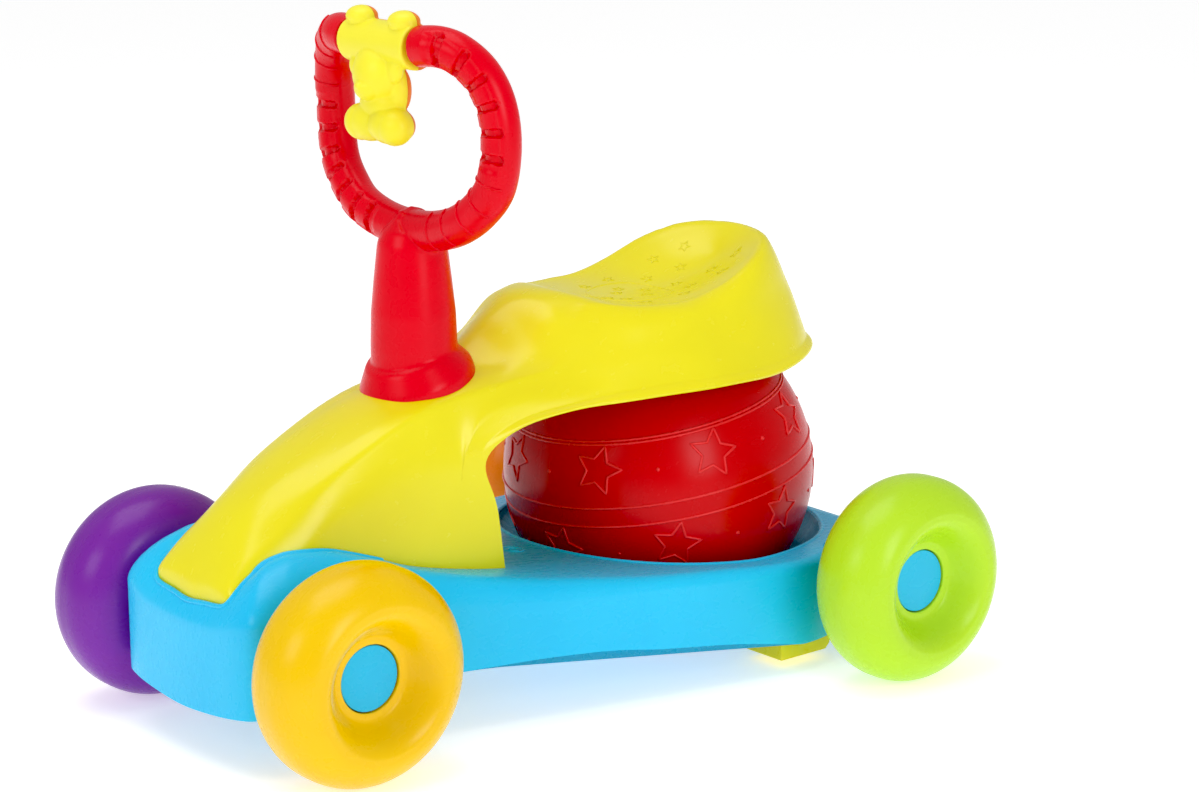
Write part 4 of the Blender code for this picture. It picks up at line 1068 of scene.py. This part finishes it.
def spotsRound(row):
    made = []
    for k in range(row["count"]):
        turn = math.radians(row["turn"] + 360 * k / row["count"])
        level = math.sqrt(1 - row["height"] ** 2)
        unit = leanMatrix.to_3x3() @ Vector((level * math.cos(turn), level * math.sin(turn), row["height"]))
        made.append(tuple(np.array(ballMiddle) + ball["radius"] * np.array(unit)))
    return made


ballSkinPiece = ballSkin()
starSpots = [p for row in ball["starRows"] for p in spotsRound(row)]
ballStars = wirePiece("ballStars", [[p] for p in starSpots], False)
starsRoundBall, starSockets = starTree()
# the stars take the paler red: painted highlight on their raised lines
growWith(ballStars, starsRoundBall, starSockets, {
    "Ball Middle": [c * mm for c in ballMiddle], "Up": list(lean), "Ball Radius": ball["radius"] * mm, "Star Points": 5,
    "Outer Radius": ball["starOuter"] * mm, "Inner Radius": ball["starInner"] * mm,
    "Bead Radius": ball["starBead"] * mm, "Finish": paint["ballMark"]})
bandLines = [spotsRound({"height": height, "count": 160, "turn": 0.0}) for height in ball["bands"]]
# the bands take the paler red: painted highlight on their raised lines
ballBands = layBead("ballBands", bandLines, True, ball["bandBead"], "ballMark", None, 0.0, 6)
ballDots = []
for row in ball["dotRows"]:
    for spot in spotsRound(row):
        made = turned("dot", ball["dot"], 12, (0, 0, 0), "Z")
        turn = Vector((0, 0, 1)).rotation_difference(Vector(spot) - Vector(ballMiddle)).to_matrix().to_4x4()
        made.data.transform(Matrix.Translation(Vector(spot) * mm) @ turn)
        ballDots.append(made)
ballDotsPiece = joinPieces("ballDots", ballDots)
squashSpan = [np.array(ballMiddle) + (0, 0, ball[end]) for end in ("squashFrom", "squashTo")]
ballBodies = ("base", "seat_body", *(tuple(point * mm) for point in squashSpan))
dress(ballSkinPiece, "ballRed", ballBodies, ("bounce_ball",))
# the marks are dressed in the paler red, a painted highlight on their raised lines
for mark in (ballStars, ballBands, ballDotsPiece):
    dress(mark, "ballMark", ballBodies)
print("ball marked:", len(starSpots), "stars")

# Wheels and hub caps

wheel = {
    "radius": 70.0, "halfWidth": 33.3, "flat": 2.5, "frontTrack": 232.0, "rearTrack": 382.0, "steps": 120,
    "hub": [(8, 3), (21.6, 3, 0.5), (21.6, 12.2, 1.1), (24.4, 12.6, 1.0)],      # radius, how far out, rounding
    "dish": [(25.6, 12.5), (27.4, 13.4), (30.4, 16.6), (34.2, 21.6), (38.0, 26.2), (42.0, 29.6), (46.0, 31.2),
             (50.0, 31.2)],
    "back": [(30, -32.0, 8), (26, -29.0, 3), (15, -22, 3), (8, -22)],
    "cap": [(0, 8.6), (18.8, 8.6), (18.8, 3.4, 0.3), (20.9, 3.4, 0.3), (20.9, 10.9, 0.8), (0, 11.2)],
}


def wheelSection():
    tyre = wheel["halfWidth"] - wheel["flat"]
    crest = wheel["radius"] - tyre
    dish = [tuple(p) for p in between(np.array(wheel["dish"], float), 5)]

    def tread(side, degrees, count):
        return [(crest + tyre * math.cos(t), side * wheel["flat"] + tyre * math.sin(t))
                for t in np.radians(np.linspace(*degrees, count))]

    inner = tread(-1, (0, -88), 22)
    back = softCorners([inner[-1]] + wheel["back"], 4, False)[1:]
    return softCorners(wheel["hub"], 5, False) + dish + tread(1, (62, 0), 20) + inner + back


capSection = softCorners(wheel["cap"], 5)
wheels = [("front_left", wheel["frontTrack"] / 2, frontY, 1, "wheelAmber"),
          ("front_right", wheel["frontTrack"] / 2, frontY, -1, "wheelViolet"),
          ("rear_left", wheel["rearTrack"] / 2, rearY, 1, "wheelLime"),
          ("rear_right", wheel["rearTrack"] / 2, rearY, -1, "wheelOrange")]
wheelBodies = {place: [b for b in frame["bodies"] if place in b][0] for place, *_ in wheels}
for place, out, along, side, finish in wheels:
    hub = (side * out, along, hubHeight)
    tyre = turned("tyre_" + place, wheelSection(), wheel["steps"], hub, "X", side)
    markEdges(tyre)
    dress(tyre, finish, wheelBodies[place], ("wheel_" + place,))
    cap = turned("cap_" + place, capSection, 72, hub, "X", side)
    markEdges(cap)
    dress(cap, "capBlue", wheelBodies[place], ("hub_cap_" + place,))
print("wheels turned")

# The ring handle on its post

handle = {
    "ring": guide([(0, 131, 243), (26, 131, 245), (51, 131, 252), (70, 133, 264), (84, 135, 281), (88.5, 136, 308),
        (86, 134, 332), (77.5, 129, 350.5), (64, 121.5, 362.5), (49, 115.8, 366), (36, 114, 365)]),
    "tube": 13.0,
    "post": [(0, -30), (28.3, -30), (28.3, 18, 20), (27.6, 40, 30), (25.6, 60, 30), (22.6, 86, 18), (19.6, 94, 8),
             (15, 99, 8), (9, 107, 10), (0, 109.5)],
    "flange": [(0, -26), (38.6, -26), (38.6, -8, 2), (38.3, -2, 1.0), (37.2, 0.4, 1.2), (29.6, 12.6, 1.2), (27.5, 14.0),
               (0, 14.0)],
    "slope": 19.6,
    "voxel": 0.95,
    "rounding": 16,
    "notchPitch": 16.55,
    "firstNotch": 33.2,
    "notchHalf": 2.7,
    "notchDepth": 2.8,
    "bandHalf": 46.0,       # degrees round the tube from its front
    "bandDepth": 0.9,
    "bandPast": 9.0,        # beyond its first and last notch
    "skinSpan": (1.6, 2.5), "evenSpan": 1.4,    # how near the tube's surface a point must be to be moved
    "notchReach": 60.0,
    "notched": ((1, 5, 10), (-1, 0, 6)),        # side, first and last notch
    "ribbed": ((1, 0, 4), (-1, 7, 10)),
    "ribHalf": 66.0,
    "ribSunk": 0.2,
    "ribBead": 1.0,
    # screw holes in front: middle, and how far before it the surface lies
    "screws": [(fromAxle(88, 136, 308), 13.0), (fromAxle(-88, 136, 308), 13.0), (fromAxle(0, 131.3, 196), 26.4),
               (fromAxle(0, 131.3, 226), 22.9)],
    "screwHole": (3.9, 4.9, 9.0),       # radius, how deep it goes and how far the drill stands out
}
postFoot = fromAxle(0, 131.3, 148.4)
ringHalf = between(np.array(handle["ring"], float), 10, before=flipX(handle["ring"][1]))
ringPath = np.vstack([flipX(ringHalf[:0:-1]), ringHalf])
ringTravelled = travelledAlong(ringPath)
ringTravelled -= ringTravelled[-1] / 2
ringTube = tubeAlong("ringTube", ringPath, handle["tube"], 40, 1.2)
postColumn = turned("postColumn", softCorners(handle["post"], 6, False), 72, postFoot, "Z")
flange = turned("flange", softCorners(handle["flange"], 5, False), 90, (0, 0, 0), "Z")
tilt = Matrix.Rotation(math.radians(handle["slope"]), 4, "X")
flange.data.transform(Matrix.Translation(Vector(postFoot) * mm) @ tilt)
ringHandle = meltForms("ringHandle", [ringTube, postColumn, flange], handle["voxel"], handle["rounding"])
print("handle blended:", len(ringHandle.data.polygons), "faces")


def acrossTube(forward):
    # square to the tube: the way that faces forward on the toy, and the way beside it
    front = np.array([0.0, -1.0, 0.0]) - forward * (forward @ np.array([0.0, -1.0, 0.0]))[..., None]
    front /= np.linalg.norm(front, axis=-1)[..., None]
    return front, np.cross(forward, front)


def pressGrip(piece):
    # a shallow band and finger notches along the front of the ring
    mesh = piece.data
    co = pointVectors(mesh, "co") / mm
    ahead = np.gradient(ringPath, axis=0)
    ahead /= np.linalg.norm(ahead, axis=1)[:, None]
    nearest = np.zeros(len(co), int)
    gap = np.full(len(co), 1e9)
    for k, middle in enumerate(ringPath):
        d = ((co - middle) ** 2).sum(axis=1)
        closer = d < gap
        nearest[closer] = k
        gap[closer] = d[closer]
    offset = co - ringPath[nearest]
    forward = ahead[nearest]
    where = ringTravelled[nearest] + (offset * forward).sum(axis=1)
    offset -= forward * (offset * forward).sum(axis=1)[:, None]
    front, across = acrossTube(forward)
    angle = np.degrees(np.arctan2((offset * across).sum(axis=1), (offset * front).sum(axis=1)))
    distance = np.linalg.norm(offset, axis=1)
    tube = handle["tube"]
    outside, inside = handle["skinSpan"]
    onTube = np.clip(tube + outside - distance, 0, 1) * np.clip(distance - tube + inside, 0, 1)

    def soft(value, half, blur):
        return np.clip((half + blur / 2 - np.abs(value)) / blur, 0, 1)

    evenOut = np.clip((handle["evenSpan"] - np.abs(distance - tube)) / (handle["evenSpan"] / 2), 0, 1)
    radial = offset / np.maximum(distance, 1e-6)[:, None]
    co += radial * ((tube - distance) * evenOut)[:, None]
    arc = angle * math.pi / 180 * tube
    pitch, firstNotch = handle["notchPitch"], handle["firstNotch"]
    press = np.zeros(len(co))
    for side, low, high in handle["notched"]:
        along = where * side
        start = firstNotch + pitch * low - handle["bandPast"]
        end = firstNotch + pitch * high + handle["bandPast"]
        inBand = np.clip((along - start) / 3, 0, 1) * np.clip((end - along) / 3, 0, 1)
        bandHalf = handle["bandHalf"] * math.pi / 180 * tube
        press = np.maximum(press, handle["bandDepth"] * soft(arc, bandHalf, 1.3) * inBand)
        for k in range(low, high + 1):
            reach = handle["notchReach"] * math.pi / 180 * tube
            inner = np.clip(np.abs(arc) - (reach - handle["notchHalf"]), 0, None)
            shape = np.sqrt((along - firstNotch - pitch * k) ** 2 + inner**2)
            notch = np.clip((handle["notchHalf"] + 0.5 - shape) / 1.0, 0, 1)
            press = np.maximum(press, (handle["bandDepth"] + handle["notchDepth"]) * notch)
    co -= radial * (press * onTube)[:, None]
    mesh.vertices.foreach_set("co", (co * mm).ravel())
    mesh.update()


pressGrip(ringHandle)
carve(ringHandle, "DIFFERENCE", [saddleMesh("seatLimit", 1.6, True)], 50)
drills = []
holeRadius, deep, proud = handle["screwHole"]
for spot, face in handle["screws"]:
    hole = softCorners([(0, face - deep), (holeRadius, face - deep), (holeRadius, face + proud), (0, face + proud)])
    drills.append(turned("drill", hole, 32, spot, "Y"))
carve(ringHandle, "DIFFERENCE", drills, 50)
markEdges(ringHandle)
dress(ringHandle, "handleRed", "seat_body", ("handle_front", "handle_rear"))
ribLines = []
for side, low, high in handle["ribbed"]:
    for k in range(low, high + 1):
        goal = side * (handle["firstNotch"] + handle["notchPitch"] * k)
        middle, later = pointsAt(ringPath, ringTravelled, (goal, goal + 2))
        front, across = acrossTube((later - middle) / np.linalg.norm(later - middle))
        ribLines.append([middle + (handle["tube"] - handle["ribSunk"]) * (math.cos(t) * front + math.sin(t) * across)
                         for t in np.radians(np.linspace(-handle["ribHalf"], handle["ribHalf"], 25))])
ringRibs = layBead("ringRibs", ribLines, False, handle["ribBead"], "handleRed", None, 0.0, 8)
dress(ringRibs, "handleRed", "seat_body")
print("handle finished")

# The hanging figure

figure = {
    "middle": (0.0, frontY + 114.0, hubHeight + 364.0),
    "sleeve": 14.5, "sleeveHalf": 34.2,
    "limbs": [((0, -6, -19), (19.5, 15.5, 19)), ((0, -15, -27), (10, 8, 8)), ((0, -22.5, -25), (3.0, 2.0, 2.2)),
              ((19.5, -8, -15), (7.5, 4.5, 8.0)), ((-19.5, -8, -15), (7.5, 4.5, 8.0)), ((0, -3, -38), (19, 12.5, 13)),
              ((17, -1, -28), (5.5, 7, 14)), ((-17, -1, -28), (5.5, 7, 14)),
              ((11, -5, -50.5), (19, 13, 12.5)), ((-11, -5, -50.5), (19, 13, 12.5)),
              ((22.5, -2, 15.5), (11.3, 10, 7)), ((-22.5, -2, 15.5), (11.3, 10, 7)),
              ((17.5, -7, -51), (13, 11, 12)), ((-17.5, -7, -51), (13, 11, 12))],
    "voxel": 0.8,
    "rounding": 4,
    "barHole": [(0, -50), (5.3, -50), (5.3, 50), (0, 50)],
}


def egg(name, middle, radii, around=40, rows=28):
    points = []
    for j in range(rows + 1):
        polar = math.pi * j / rows
        for i in range(around):
            turn = 2 * math.pi * i / around
            unit = (math.sin(polar) * math.cos(turn), math.sin(polar) * math.sin(turn), math.cos(polar))
            points.append(tuple(m + r * u for m, r, u in zip(middle, radii, unit)))
    return newPiece(name, points, ringFaces(around, rows + 1))


barMiddle = np.array(figure["middle"])
parts = [egg("limb", barMiddle + np.array(centre), radii) for centre, radii in figure["limbs"]]
sleeve = softCorners([(0, -figure["sleeveHalf"]), (figure["sleeve"], -figure["sleeveHalf"], 1.0),
                      (figure["sleeve"], figure["sleeveHalf"], 1.0), (0, figure["sleeveHalf"])])
parts.append(turned("sleeve", sleeve, 72, figure["middle"], "X"))
figureForm = meltForms("figureForm", parts, figure["voxel"], figure["rounding"])
carve(figureForm, "DIFFERENCE", [turned("barHole", figure["barHole"], 32, figure["middle"], "X")])
for half, finish, low, high in (("front", "figureYellow", -0.1, 80), ("back", "figureOrange", -80, 0.1)):
    piece = placed("figure" + half.capitalize(), figureForm.data.copy())
    carve(piece, "DIFFERENCE", [block("away", barMiddle + (-70, low, -140), barMiddle + (70, high, 70))], 60)
    markEdges(piece)
    dress(piece, finish, "figure", ("figure_" + half,))
bpy.data.objects.remove(figureForm)
print("figure split")

# Parking feet

footShape = {
    "side": [(-8, -24, 1.5), (34, -24, 1.5), (38, -20, 1.5), (38, -8, 2), (12, 3, 2), (5, 7.5, 3), (-4, 7.5, 3),
             (-8, 3, 3)],
    "span": (90.5, 126.0),
}
for side, word in ((1, "left"), (-1, "right")):
    outline = [(footPin[0] + y, footPin[1] + z) for y, z in softCorners(footShape["side"], 3)]
    foot = slab("foot_" + word + "_block", outline, *sorted(side * x for x in footShape["span"]), "X")
    roundEdges(foot, 1.0, 3, 50)
    markEdges(foot)
    footBody = [b for b in frame["bodies"] if "foot" in b and word in b][0]
    dress(foot, "footYellow", footBody, ("foot_" + word,))
print("feet ready")

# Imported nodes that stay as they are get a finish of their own

for name, item in frame["nodes"].items():
    if item.hide_render:
        continue
    plain = "nylonWhite" if name.startswith("bush") or name == "ball_plug" else "steel"
    item.data.materials.clear()
    item.data.materials.append(paint[plain])
    print("kept", name, plain)

# Floor, light and camera

stage = {
    # the camera and the lamps are placed in metres
    "position": (1.5565, -1.2077, 0.6628), "yaw": 50.19, "pitch": 13.47, "roll": -0.31, "lens": 91.15,
    "floorReach": 6000, "floor": (0.96, 0.96, 0.96), "floorGlow": 0.45, "sky": 0.54, "blackLevel": 0.012,
    "lamps": [("topBox", (-0.2, -0.3, 1.9), (1.3, 1.3), 12.0), ("keyBox", (0.1, -2.3, 1.3), (1.1, 0.9), 9.0),
              ("sideBox", (2.3, -0.2, 1.0), (0.8, 1.2), 14.0)],
}
reach = stage["floorReach"]
floorCorners = [(-reach, -reach, 0), (reach, -reach, 0), (reach, reach, 0), (-reach, reach, 0)]
floor = newPiece("floor", floorCorners, [(0, 1, 2, 3)], False)
floorFinish, _, floorSurface = newFinish("paleFloor")
white = (1.0, 1.0, 1.0, 1.0)
setInputs(floorSurface, {"Base Color": (*stage["floor"], 1.0), "Roughness": 0.85, "Emission Color": white,
          "Emission Strength": stage["floorGlow"]})
floor.data.materials.append(floorFinish)

world = bpy.data.worlds.new("studio")
bpy.context.scene.world = world
world.use_nodes = True
studioTree = world.node_tree
studioLight = studioTree.nodes["Background"]
setInputs(studioLight, {"Color": white, "Strength": stage["sky"]})
whiteWall = studioTree.nodes.new("ShaderNodeBackground")
setInputs(whiteWall, {"Color": white, "Strength": 1.0})
seen = studioTree.nodes.new("ShaderNodeLightPath")
choose = studioTree.nodes.new("ShaderNodeMixShader")
studioTree.links.new(seen.outputs["Is Camera Ray"], choose.inputs[0])
studioTree.links.new(studioLight.outputs[0], choose.inputs[1])
studioTree.links.new(whiteWall.outputs[0], choose.inputs[2])
studioTree.links.new(choose.outputs[0], studioTree.nodes["World Output"].inputs["Surface"])


def softLight(name, place, target, size, power):
    data = bpy.data.lights.new(name, "AREA")
    data.shape = "RECTANGLE"
    data.size, data.size_y = size
    data.energy = power
    lamp = placed(name, data)
    lamp.location = place
    lamp.rotation_euler = (Vector(target) - Vector(place)).to_track_quat("-Z", "Y").to_euler()


for name, place, size, power in stage["lamps"]:
    softLight(name, place, (0, 0, 0.2), size, power)

yaw, pitch, roll = (math.radians(stage[k]) for k in ("yaw", "pitch", "roll"))
back = Vector((math.sin(yaw) * math.cos(pitch), -math.cos(yaw) * math.cos(pitch), math.sin(pitch)))
right = Vector((math.cos(yaw), math.sin(yaw), 0.0))
up = back.cross(right)
rolledRight = math.cos(roll) * right + math.sin(roll) * up
rolledUp = math.cos(roll) * up - math.sin(roll) * right
cameraData = bpy.data.cameras.new("photoCamera")
cameraData.lens = stage["lens"]
cameraData.sensor_width = 36.0
camera = placed("photoCamera", cameraData)
turnMatrix = Matrix((rolledRight, rolledUp, back)).transposed().to_4x4()
camera.matrix_world = Matrix.Translation(Vector(stage["position"])) @ turnMatrix
bpy.context.scene.camera = camera
viewing = bpy.context.scene.view_settings
viewing.view_transform = "Standard"
viewing.use_curve_mapping = True
viewing.curve_mapping.black_level = (stage["blackLevel"],) * 3
viewing.curve_mapping.update()

print("scene built")
